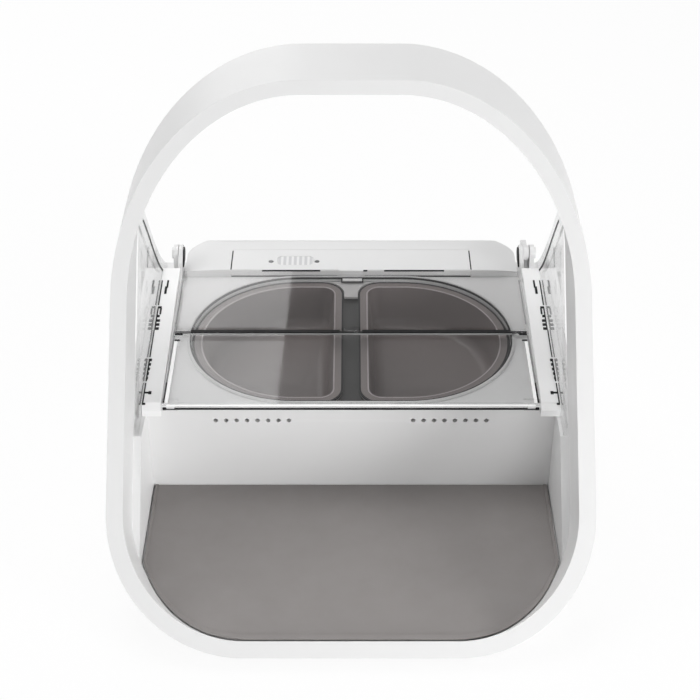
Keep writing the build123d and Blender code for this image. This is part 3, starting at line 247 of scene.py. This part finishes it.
def clear_plastic(name, tint, edge_tint):
    """Thin clear moulded plastic: a tint that passes light, and a gloss that grows at grazing."""
    material, plain_shader = new_material(name)
    material.node_tree.nodes.remove(plain_shader)
    facing = add_node(material, "ShaderNodeLayerWeight", {"Blend": 0.5}).outputs["Facing"]
    colour = blend_colours(material, facing, shade(tint), shade(edge_tint))
    pass_through = add_node(material, "ShaderNodeBsdfTransparent", {"Color": colour})
    inputs = {
        "Color": WHITE,
        "Roughness": spread(material, noise(material, 40.0, 5.0), 0.02, 0.05),
        "Normal": bump(material, noise(material, 9.0, 2.0), 0.03, 0.0004),
    }
    gloss = add_node(material, "ShaderNodeBsdfGlossy", inputs)
    grazing = calculate(material, "POWER", facing, 5.0)
    fresnel = calculate(material, "MULTIPLY_ADD", grazing, 0.96, 0.04)
    shadow_ray = source(material, "ShaderNodeLightPath", "Is Shadow Ray")
    lit = calculate(material, "SUBTRACT", 1.0, shadow_ray)
    share = calculate(material, "MULTIPLY", fresnel, lit)
    shaders = (pass_through.outputs["BSDF"], gloss.outputs["BSDF"])
    show(material, mix_shaders(material, share, *shaders))
    return material


def indicator_glass(name, bar_pitch, first_bar):
    """Frosted window with light bars behind it."""
    material, shader = new_material(name)
    coords = source(material, "ShaderNodeTexCoord", "Object")
    split = add_node(material, "ShaderNodeSeparateXYZ", {"Vector": coords})
    shift = calculate(material, "SUBTRACT", split.outputs["X"], first_bar)
    cycle = calculate(material, "PINGPONG", shift, bar_pitch / 2)
    bars = spread(material, cycle, 0.0, 1.0, bar_pitch * 0.18, bar_pitch * 0.27)
    inputs = {
        "Base Color": blend_colours(material, bars, (0.80, 0.80, 0.80, 1), (0.60, 0.60, 0.61, 1)),
        "Roughness": spread(material, noise(material, 300.0), 0.3, 0.45),
    }
    feed(material, shader, inputs)
    return material


def circuit_laminate(name):
    """Green board with paler tracks."""
    material, shader = new_material(name)
    inputs = {
        "Vector": source(material, "ShaderNodeTexCoord", "Object"),
        "Color1": (0.03, 0.16, 0.07, 1),
        "Color2": (0.04, 0.20, 0.09, 1),
        "Mortar": (0.10, 0.32, 0.16, 1),
        "Scale": 120.0,
        "Mortar Size": 0.03,
    }
    tracks = add_node(material, "ShaderNodeTexBrick", inputs)
    inputs = {
        "Base Color": tracks.outputs["Color"],
        "Roughness": spread(material, noise(material, 200.0), 0.3, 0.5),
    }
    feed(material, shader, inputs)
    return material


def stage_material():
    """White floor that keeps the shadow and shows as white behind the object."""
    material, shader = new_material("stage_white")
    feed(material, shader, {"Base Color": (0.92, 0.92, 0.92, 1), "Roughness": 0.9})
    glow = add_node(material, "ShaderNodeEmission", {"Color": WHITE})
    plain = shader.outputs["BSDF"]
    bright = mix_shaders(material, 0.9, plain, glow.outputs["Emission"])
    show(material, mix_shaders(material, seen_directly(material), plain, bright))
    return material


# Looks of the frame's slots. A plastic has its colour, its colour at worn edges, its roughness
# from low to high, its grain in cells per metre and the grain's depth.
BY_SLOT = {
    "gloss_white": moulded_plastic(
        "gloss_white", grey(0.81), grey(0.81), (0.36, 0.46), 500.0, 0.03
    ),
    "satin_white": moulded_plastic(
        "satin_white", grey(0.76), grey(0.82), (0.38, 0.50), 1600.0, 0.05
    ),
    "bowl_grey": moulded_plastic(
        "bowl_grey", (0.196, 0.168, 0.163), (0.21, 0.19, 0.185), (0.28, 0.42), 1400.0, 0.04
    ),
    "tray_dark": moulded_plastic(
        "tray_dark", (0.014, 0.013, 0.013), grey(0.03), (0.42, 0.55), 1500.0, 0.12
    ),
    "gear_plastic": moulded_plastic(
        "gear_plastic", (0.72, 0.70, 0.62), (0.80, 0.78, 0.72), (0.35, 0.48), 900.0, 0.08
    ),
    "button_grey": moulded_plastic(
        "button_grey", grey(0.30), grey(0.36), (0.40, 0.52), 1600.0, 0.1
    ),
    "cell_sleeve": moulded_plastic(
        "cell_sleeve", (0.10, 0.11, 0.12), grey(0.2), (0.18, 0.30), 300.0, 0.04, coat=0.4
    ),
    "lamp_lens": moulded_plastic(
        "lamp_lens", (0.12, 0.12, 0.125), grey(0.2), (0.15, 0.25), 500.0, 0.03, coat=0.5
    ),
    "mat_grey": rubber("mat_grey", (0.262, 0.246, 0.240), 2600.0, 0.35),
    "seal_rubber": rubber("seal_rubber", grey(0.70), 1800.0, 0.2),
    "foot_rubber": rubber("foot_rubber", (0.035, 0.035, 0.036), 2200.0, 0.3),
    "clear_plastic": clear_plastic("clear_plastic", grey(0.975), grey(0.90)),
    "pin_steel": brushed_metal("pin_steel", (0.62, 0.62, 0.63), (0.22, 0.38), (0.05, 1, 1)),
    "motor_steel": brushed_metal("motor_steel", (0.56, 0.56, 0.58), (0.28, 0.42), (1, 0.05, 1)),
    "gear_brass": brushed_metal("gear_brass", (0.78, 0.58, 0.26), (0.2, 0.34), (0.05, 1, 1)),
    "copper_coil": brushed_metal("copper_coil", (0.72, 0.34, 0.18), (0.25, 0.4), (0.05, 0.05, 1)),
    "indicator_clear": indicator_glass("indicator_clear", 0.003, -0.0393),
    "board_green": circuit_laminate("board_green"),
}

SATIN_WHITE = BY_SLOT["satin_white"]
# Painted shade: a darker copy of the gloss white for the hoop, so that it renders greyer than the
# body
HOOP_SHADED_WHITE = moulded_plastic("shaded_hoop_white", grey(0.775), grey(0.775), (0.36, 0.46), 500.0, 0.03)
# Painted light: a lighter copy of the satin white for the rails, so that they render brighter than
# the deck
RAIL_LIT_WHITE = moulded_plastic("lit_rail_white", grey(0.88), grey(0.90), (0.38, 0.50), 1600.0, 0.04)
# Painted shade: a darker copy of the clear plastic for the lid's rear panel, for the shade on the
# deck under it
REAR_CLEAR_SHADED = clear_plastic("shaded_rear_clear", (0.962, 0.96, 0.96), grey(0.87))
# Black of the fold pins, guard clips, knuckles and cover seams; also painted shade in holes, gaps
# and under edges
BLACK_TRIM_AND_SHADE = moulded_plastic(
    "black_trim_and_painted_shade", (0.012, 0.012, 0.013), grey(0.03), (0.40, 0.55), 1500.0, 0.1, specular=0.15
)
# Painted highlight: a white that glows a little, for the lit lip and side edges of the lid's front
# panel
PAINTED_HIGHLIGHT_WHITE = moulded_plastic(
    "painted_highlight_edge", grey(0.90), grey(0.92), (0.30, 0.42), 1200.0, 0.06, glow=0.22
)
# Painted grey edge lines of the clear lid: a painted highlight on the front panel's sides and fold
# edge, and a painted grey line along the rear panel's sides
PAINTED_EDGE_GREY = moulded_plastic("painted_edge_grey", grey(0.30), grey(0.36), (0.25, 0.38), 1500.0, 0.05)
RIM_GLINT = moulded_plastic(
    "rim_glint", (0.42, 0.38, 0.385), (0.46, 0.42, 0.42), (0.25, 0.38), 1500.0, 0.04
)
SADDLE_GREY = moulded_plastic(
    "saddle_grey", (0.52, 0.51, 0.51), (0.56, 0.55, 0.55), (0.40, 0.52), 1500.0, 0.05
)

BY_NODE = {
    # Painted shade: the hoop takes a darker copy of the gloss white
    "hoop_outer_shell": HOOP_SHADED_WHITE,
    "hoop_inner_shell": HOOP_SHADED_WHITE,
    # Painted shade: the rear panel takes the darker clear plastic
    "lid_rear_panel": REAR_CLEAR_SHADED,
    "fold_pins": BLACK_TRIM_AND_SHADE,
    "hinge_pin_left": SATIN_WHITE,
    "hinge_pin_right": SATIN_WHITE,
    "guide_pin_left": SATIN_WHITE,
    "guide_pin_right": SATIN_WHITE,
    # Painted light: the rails take a lighter copy of the satin white
    "side_rail_left": RAIL_LIT_WHITE,
    "side_rail_right": RAIL_LIT_WHITE,
}
for part in frame["record"]["subparts"]:
    mesh = nodes[part["node"]].data
    mesh.materials.clear()
    mesh.materials.append(BY_NODE.get(part["node"], BY_SLOT[part["material_slot"]]))

# Looks of the added pieces: a material, and the name of one of the frame's slots
# The dark look is the black trim, and also painted shade
DARK = (BLACK_TRIM_AND_SHADE, "tray_dark")
# Look of the painted highlights
HIGHLIGHT_LOOK = (PAINTED_HIGHLIGHT_WHITE, "clear_plastic")
# Look of the painted grey edge lines
EDGE_GREY_LOOK = (PAINTED_EDGE_GREY, "clear_plastic")
SATIN = (SATIN_WHITE, "satin_white")
SADDLE = (SADDLE_GREY, "satin_white")
GLINT = (RIM_GLINT, "bowl_grey")

# ---------------------------------------------------------------- pieces added to the frame


def finish_piece(build, name, look, body):
    """Make an object of the mesh in hand, which is in metres, and let it ride on a body."""
    material, slot = look
    bmesh.ops.recalc_face_normals(build, faces=build.faces)
    mesh = bpy.data.meshes.new(name)
    build.to_mesh(mesh)
    build.free()
    mesh.materials.append(material)
    piece = bpy.data.objects.new(name, mesh)
    bpy.context.scene.collection.objects.link(piece)
    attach(piece, body)


def round_edges(build, edges, rounding):
    """Round the edges by a radius in millimetres."""
    bmesh.ops.bevel(
        build, geom=edges, offset=rounding * MM, segments=2, profile=0.6, affect="EDGES"
    )


def add_walls(build, first, second):
    """Add the faces between two rings with equally many corners."""
    count = len(first)
    for index in range(count):
        after = (index + 1) % count
        build.faces.new((first[index], first[after], second[after], second[index]))


def prism(near, far):
    """A closed mesh between two outlines of (x, y, z) points in millimetres."""
    build = bmesh.new()
    rings = [
        [build.verts.new(Vector(point) * MM) for point in outline] for outline in (near, far)
    ]
    for ring in rings:
        build.faces.new(ring)
    add_walls(build, *rings)
    return build


def add_bar(build, low, high, rounding, lift):
    """Add a bar with rounded edges between two corners in millimetres."""
    made = bmesh.ops.create_cube(build, size=1.0)["verts"]
    size = [high[i] - low[i] for i in range(3)]
    middle = [(high[i] + low[i]) / 2 for i in range(3)]
    for vert in made:
        vert.co = Vector([middle[i] + vert.co[i] * size[i] for i in range(3)])
        if lift:
            vert.co.z += lift(vert.co.y)
        vert.co *= MM
    edges = {edge for vert in made for edge in vert.link_edges}
    round_edges(build, list(edges), rounding)


def bars_piece(name, bars, look, body, rounding=0.15, lift=None):
    """A piece made of bars; lift gives the height that they are raised by at each y."""
    build = bmesh.new()
    for low, high in bars:
        add_bar(build, low, high, rounding, lift)
    finish_piece(build, name, look, body)


def side_bars(x0, x1, y0, y1, z0, z1):
    """Corners of a bar on the left and of its mirror image on the right."""
    return [((-x1, y0, z0), (-x0, y1, z1)), ((x0, y0, z0), (x1, y1, z1))]


def cross_bar(half, y0, y1, z0, z1):
    """Corners of a bar across the middle, as far to the left as to the right."""
    return [((-half, y0, z0), (half, y1, z1))]


# Painted shade: a black plate behind the two rows of holes, so that they look dark inside
HOLE_ROW_HALF = 21.5
HOLE_HALF = 2.6
hole_shade_rows = [
    (
        (x - HOLE_ROW_HALF, RISER_BACK_Y + 0.02, HOLE_ROW_Z - HOLE_HALF),
        (x + HOLE_ROW_HALF, RISER_BACK_Y + 0.7, HOLE_ROW_Z + HOLE_HALF),
    )
    for x in (-HOLE_ROW_X, HOLE_ROW_X)
]
bars_piece("hole_painted_shade", hole_shade_rows, DARK, "base")

# Painted highlight on the lid's front lip, a thin painted shade line in the gap under it, and the
# bumpers at its corners
lip = cross_bar(
    LID_HALF - 2.2, LID_FRONT_Y - 0.12, LID_FRONT_Y + 0.9, LID_TOP - 0.45, LID_TOP + 0.25
)
bars_piece("lid_front_painted_highlight", lip, HIGHLIGHT_LOOK, "lid_front", 0.2)
front_gap_shade = cross_bar(
    LID_HALF - 1.0, LID_FRONT_Y - 0.1, LID_FRONT_Y + 0.7, LID_UNDER - 0.5, LID_UNDER + 0.3
)
bars_piece("lid_front_painted_gap_shade", front_gap_shade, DARK, "lid_front", 0.12)
bumpers = side_bars(
    LID_HALF - 2.3,
    LID_HALF - 0.1,
    LID_FRONT_Y - 0.4,
    LID_FRONT_Y + 1.2,
    LID_UNDER - 0.6,
    LID_UNDER + 1.5,
)
bars_piece("lid_corner_bumpers", bumpers, DARK, "lid_front", 0.5)

# Painted highlights and painted grey lines along the lid panels' edges, and dark bars along the
# fold, at its knuckles and on the front panel's sides
SIDE_EDGE_BAND = (LID_HALF - 0.9, LID_HALF - 0.1)
front_edge_highlights = side_bars(
    LID_HALF - 2.6, LID_HALF - 1.0, LID_FRONT_Y + 1.5, 7.0, LID_TOP - 0.6, LID_TOP + 0.1
)
bars_piece("front_panel_edge_highlights", front_edge_highlights, HIGHLIGHT_LOOK, "lid_front", 0.1)
fold_trim = (
    side_bars(6.0, 85.5, 14.9, 17.35, LID_TOP - 0.4, LID_TOP + 0.3)
    + side_bars(89.5, 93.8, 13.0, 14.2, LID_TOP - 0.4, LID_TOP + 0.3)
    + side_bars(90.6, 93.4, 7.6, 8.6, LID_TOP - 0.4, LID_TOP + 0.2)
    + side_bars(*SIDE_EDGE_BAND, LID_FRONT_Y + 0.9, -29.0, LID_TOP - 0.5, LID_TOP + 0.1)
)
bars_piece("front_panel_fold_trim", fold_trim, DARK, "lid_front", 0.2)
# Painted highlight in grey along the front panel's sides and along its edge at the fold
side_edge_highlights = side_bars(
    *SIDE_EDGE_BAND, -28.0, 12.0, LID_TOP - 0.5, LID_TOP + 0.06
) + cross_bar(86.0, 13.5, 14.2, LID_TOP - 0.5, LID_TOP + 0.06)
bars_piece("front_panel_grey_highlights", side_edge_highlights, EDGE_GREY_LOOK, "lid_front", 0.1)
# Painted grey lines along the rear panel's sides
rear_edges = side_bars(
    LID_HALF - 0.7, LID_HALF - 0.05, FOLD_Y + 5.0, 66.0, LID_TOP - 0.5, LID_TOP + 0.06
)
bars_piece("rear_panel_edges", rear_edges, EDGE_GREY_LOOK, "lid_rear", 0.1)


def rail_lift(y):
    """Height of the rails' sloping top, in millimetres."""
    return RAIL_TOP_AT_HINGE - (HINGE_Y - y) * RAIL_SLOPE


# Dark clips and hooks of the clear guards along each rail's top, as (x0, x1, y0, y1)
RAIL_MARKS = (
    [(100.1, 101.1, 46.5, 53.2), (100.5, 101.8, 41.0, 47.5), (103.5, 104.2, 31.0, 53.0)]
    + [(101.9, 104.0, 28.2, 29.8), (101.7, 102.6, 23.0, 28.5), (103.4, 104.1, 10.0, 28.5)]
    + [(102.2, 104.0, 20.5, 22.3)]
    + [(101.7, 103.8, y, y + 1.9) for y in (9.8, 13.2, 16.6)]
    + [(103.7, 104.3, -12.7, 9.6)]
    + [
        (102.7 + step * 0.15, 104.1, -16.0 - step * 3.6, -14.2 - step * 3.6)
        for step in range(5)
    ]
    + [(103.6, 104.3, -31.8, -14.3), (100.8, 104.2, -41.2, -40.2), (100.4, 101.9, -41.8, -39.7)]
    + [(103.7, 104.3, -49.3, -33.3), (102.6, 104.2, -49.8, -48.6)]
)
clips = [bar for mark in RAIL_MARKS for bar in side_bars(*mark, -0.3, 0.2)]
bars_piece("guard_clips", clips, DARK, "base", 0.12, rail_lift)


def hoop_back(z):
    """Y of the hoop's back plane at height z, in metres."""
    return HOOP_FOOT_BACK_Y * MM + (z - HOOP_FOOT_Z * MM) / math.tan(HOOP_LEAN)


def guard_back(node):
    """Edge of a guard's inner face behind the hoop, as (y, z) points in metres, from the top."""
    points = set()
    for vert in nodes[node].data.vertices:
        x, y, z = vert.co
        if abs(abs(x) - GUARD_IN * MM) < 0.06 * MM and z > (DECK_Z + 6.0) * MM:
            points.add((round(y, 5), round(z, 5)))
    return sorted(
        ((y, z) for y, z in points if y > hoop_back(z)), key=lambda point: -point[1]
    )


def edge_ribbon(name, curve, x0, x1, wide, look, body):
    """A thin strip that follows a curve of (y, z) points in metres, wide inwards from it."""
    build = bmesh.new()
    rings = []
    for index, (y, z) in enumerate(curve):
        before = curve[max(index - 1, 0)]
        after = curve[min(index + 1, len(curve) - 1)]
        along = Vector((0, after[0] - before[0], after[1] - before[1])).normalized()
        inward = Vector((0, along.z, -along.y)) * wide * MM
        outer = Vector((0, y, z))
        near, far = Vector((x0 * MM, 0, 0)), Vector((x1 * MM, 0, 0))
        corners = (outer + near, outer + far, outer + inward + far, outer + inward + near)
        rings.append([build.verts.new(corner) for corner in corners])
    for first, second in zip(rings, rings[1:]):
        add_walls(build, first, second)
    build.faces.new(rings[0])
    build.faces.new(rings[-1])
    finish_piece(build, name, look, body)


# Dark back edges of the guards
for side, word in ((-1, "left"), (1, "right")):
    curve = guard_back("side_guard_" + word)
    x0, x1 = side * (GUARD_IN - 0.12), side * (GUARD_IN + 0.5)
    edge_ribbon("guard_edge_" + word, curve, x0, x1, 1.1, DARK, "base")


def ear_outline(radius, foot_y, foot_z):
    """Outline of a hinge ear as (y, z): a round head on a foot that leans forward."""
    first_angle, last_angle, steps = -40, 135, 14
    points = [(foot_y, foot_z), (foot_y + 8.0, foot_z)]
    for step in range(steps + 1):
        angle = math.radians(first_angle + step * (last_angle - first_angle) / steps)
        points.append((HINGE_Y + radius * math.cos(angle), HINGE_Z + radius * math.sin(angle)))
    points.append((foot_y, foot_z + 1.6))
    return points


def plate_piece(name, outline, x0, x1, look, body, rounding=0.0):
    """A plate from x0 to x1 with an outline of (y, z) in millimetres."""
    build = prism([(x0, y, z) for y, z in outline], [(x1, y, z) for y, z in outline])
    bmesh.ops.recalc_face_normals(build, faces=build.faces)
    if rounding:
        rim = [edge for edge in build.edges if abs(edge.verts[0].co.x - edge.verts[1].co.x) < 1e-6]
        round_edges(build, rim, rounding)
    finish_piece(build, name, look, body)


# White ears over the lid's rear arms, each with a painted shadow line along its inner side
ear = ear_outline(4.65, 67.6, LID_UNDER)
ear_gap_shade = ear_outline(3.3, 75.0, 69.6)
for side, word in ((-1, "left"), (1, "right")):
    plate_piece("lid_ear_" + word, ear, side * 94.9, side * 97.4, SATIN, "lid_rear", 0.4)
    plate_piece("lid_ear_painted_shade_" + word, ear_gap_shade, side * 94.2, side * 94.85, DARK, "lid_rear")

# Seams of the access cover, and a painted shadow line along the top of its front face
cover_side = side_bars(
    COVER_HALF - 0.35,
    COVER_HALF + 0.35,
    HOUSING_Y + 0.2,
    97.0,
    HOUSING_TOP - 0.4,
    HOUSING_TOP + 0.06,
)
cover_foot = side_bars(
    8.0, COVER_HALF, HOUSING_Y - 0.12, HOUSING_Y + 0.1, DECK_Z - 0.1, DECK_Z + 0.8
)
edge_shadow_lines = [
    ((x0, HOUSING_Y - 0.1, HOUSING_TOP - 1.3), (x1, HOUSING_Y + 0.3, HOUSING_TOP - 0.25))
    for x0, x1 in ((-50.5, -17.4), (-6.0, 9.3), (18.8, 52.8))
]
bars_piece("cover_seams_and_shadow_line", cover_side + cover_foot + edge_shadow_lines, DARK, "cover", 0.08)

# Finger tab at the foot of the cover, with a painted shadow around it
tab_shadow = [((-5.6, 70.9, DECK_Z - 0.1), (7.0, HOUSING_Y - 0.3, DECK_Z + 0.2))]
bars_piece("cover_tab_painted_shadow", tab_shadow, DARK, "base", 0.1)
tab = [((-4.8, 71.8, DECK_Z + 0.05), (6.2, HOUSING_Y - 0.3, DECK_Z + 0.8))]
bars_piece("cover_tab", tab, SATIN, "base", 0.25)


def around(points):
    """Convex outline of (x, y) points, counterclockwise."""
    outline = []
    for order in (sorted(points), sorted(points, reverse=True)):
        chain = []
        for x, y in order:
            while len(chain) > 1:
                (x0, y0), (x1, y1) = chain[-2:]
                if (x1 - x0) * (y - y0) - (y1 - y0) * (x - x0) > 1e-9:
                    break
                chain.pop()
            chain.append((x, y))
        outline += chain[:-1]
    return outline


def depth_inside(point, outline):
    """Distance from a point to the nearest side of the outline that it is in."""
    x, y = point
    depths = []
    for index, (x1, y1) in enumerate(outline):
        x0, y0 = outline[index - 1]
        length = math.hypot(x1 - x0, y1 - y0)
        depths.append(((x1 - x0) * (y - y0) - (y1 - y0) * (x - x0)) / length)
    return min(depths)


def ring_loops(node, level):
    """Outer and inner edge of a node's flat ring at a height, as (x, y) in millimetres."""
    level_slack, least_width = 0.06, 1.0
    flat = set()
    for vert in nodes[node].data.vertices:
        spot = vert.co / MM
        if abs(spot.z - level) < level_slack:
            flat.add((round(spot.x, 2), round(spot.y, 2)))
    outer = around(flat)
    inner = around([point for point in flat if depth_inside(point, outer) > least_width])
    return outer, inner


def loop_ribbon(name, loop, heights, inwards, outwards, look, body):
    """A closed strip that follows a loop of (x, y), from inwards of it to outwards of it."""
    z0, z1 = heights
    section = ((-inwards, z0), (-inwards, z1), (outwards, z1), (outwards, z0))
    build = bmesh.new()
    rings = []
    for index, (x, y) in enumerate(loop):
        before, after = loop[index - 1], loop[(index + 1) % len(loop)]
        along = Vector((after[0] - before[0], after[1] - before[1], 0)).normalized()
        away = Vector((along.y, -along.x, 0))
        spot = Vector((x, y, 0))
        corners = [(spot + away * shift + Vector((0, 0, z))) * MM for shift, z in section]
        rings.append([build.verts.new(corner) for corner in corners])
    for index, ring in enumerate(rings):
        add_walls(build, ring, rings[(index + 1) % len(rings)])
    finish_piece(build, name, look, body)


# Dark lip inside the seal, widened with painted shade of the gap around the bowls
seal_inside = ring_loops("lid_seal", DECK_Z)[1]
loop_ribbon("seal_lip_and_gap_shade", seal_inside, (DECK_Z + 0.2, DECK_Z + 1.07), 0.4, 0.4, DARK, "base")

# Painted shade in the gap around each bowl's rim, and a painted highlight along the rim's inner
# edge
gap_shade_heights = (BOWL_RIM_Z - 0.9, BOWL_RIM_Z + 0.06)
glint_heights = (BOWL_RIM_Z - 0.5, BOWL_RIM_Z + 0.05)
for word in ("left", "right"):
    outer, inner = ring_loops("bowl_" + word, BOWL_RIM_Z)
    bowl = "bowl_" + word[0]
    loop_ribbon("bowl_gap_shade_" + word, outer, gap_shade_heights, 0.7, 0.2, DARK, bowl)
    loop_ribbon("bowl_glint_" + word, inner, glint_heights, 0.05, 0.65, GLINT, bowl)

# Pale saddle of the tray between the bowls' rear corners
SADDLE_FRONT_Y = 57.5
SADDLE_GAP = 0.6
CORNER_X, CORNER_Y = 16.0, 55.0
saddle_low, saddle_high = BOWL_RIM_Z - 0.6, BOWL_RIM_Z + 0.6
rim = ring_loops("bowl_right", BOWL_RIM_Z)[0]
corner = sorted((y, x) for x, y in rim if x < CORNER_X and y > CORNER_Y)
right_edge = [(x - SADDLE_GAP, y) for y, x in corner]
right_edge.insert(0, (right_edge[0][0], SADDLE_FRONT_Y))
saddle_outline = right_edge + [(-x, y) for x, y in reversed(right_edge)]
saddle = prism(*([(x, y, z) for x, y in saddle_outline] for z in (saddle_low, saddle_high)))
top_level = (saddle_high - 0.01) * MM
top = [edge for edge in saddle.edges if min(vert.co.z for vert in edge.verts) > top_level]
round_edges(saddle, top, 0.2)
finish_piece(saddle, "tray_saddle", SADDLE, "base")

# ---------------------------------------------------------------- stage, lamps and camera


def make_floor():
    mesh = bpy.data.meshes.new("stage_floor")
    build = bmesh.new()
    bmesh.ops.create_grid(build, x_segments=2, y_segments=2, size=FLOOR_HALF)
    build.to_mesh(mesh)
    build.free()
    floor = bpy.data.objects.new("stage_floor", mesh)
    bpy.context.scene.collection.objects.link(floor)
    mesh.materials.append(stage_material())


def make_world():
    """Studio light that grows towards the back, white where the camera or clear plastic sees it."""
    world = bpy.data.worlds.new("studio")
    bpy.context.scene.world = world
    world.use_nodes = True
    direction = source(world, "ShaderNodeTexCoord", "Generated")
    split = add_node(world, "ShaderNodeSeparateXYZ", {"Vector": direction})
    half = WORLD_LEVEL / 2
    strength = calculate(world, "MULTIPLY_ADD", split.outputs["Y"], half, half)
    lighting = world.node_tree.nodes["Background"]
    feed(world, lighting, {"Color": WHITE, "Strength": strength})
    white = add_node(world, "ShaderNodeBackground", {"Color": WHITE, "Strength": 1.0})
    backgrounds = (lighting.outputs["Background"], white.outputs["Background"])
    surface = mix_shaders(world, seen_directly(world), *backgrounds)
    feed(world, world.node_tree.nodes["World Output"], {"Surface": surface})


def add_light(name, place, turn, wide, tall, power):
    """A rectangle of light, with its sides in metres."""
    data = bpy.data.lights.new(name, "AREA")
    data.shape = "RECTANGLE"
    data.size = wide
    data.size_y = tall
    data.energy = power
    light = bpy.data.objects.new(name, data)
    light.location = place
    light.rotation_euler = turn
    bpy.context.scene.collection.objects.link(light)


def make_camera():
    data = bpy.data.cameras.new("camera")
    data.lens = CAMERA_LENS
    data.sensor_width = CAMERA_SENSOR
    data.shift_x = CAMERA_SHIFT_X
    camera = bpy.data.objects.new("camera", data)
    camera.location = CAMERA_PLACE
    camera.rotation_euler = Euler((CAMERA_TILT, 0, 0))
    bpy.context.scene.collection.objects.link(camera)
    bpy.context.scene.camera = camera


make_floor()
make_world()
for name, place, size, power in LAMPS:
    aim = (Vector(LAMP_TARGET) - Vector(place)).to_track_quat("-Z", "Y").to_euler()
    add_light(name, place, aim, size, size, power)

# The card of light shows as the reflection in the lid
add_light("reflection_card", CARD_PLACE, Euler(CARD_TURN), CARD_WIDE, CARD_TALL, CARD_POWER)
make_camera()

bpy.context.scene.view_settings.view_transform = "Standard"
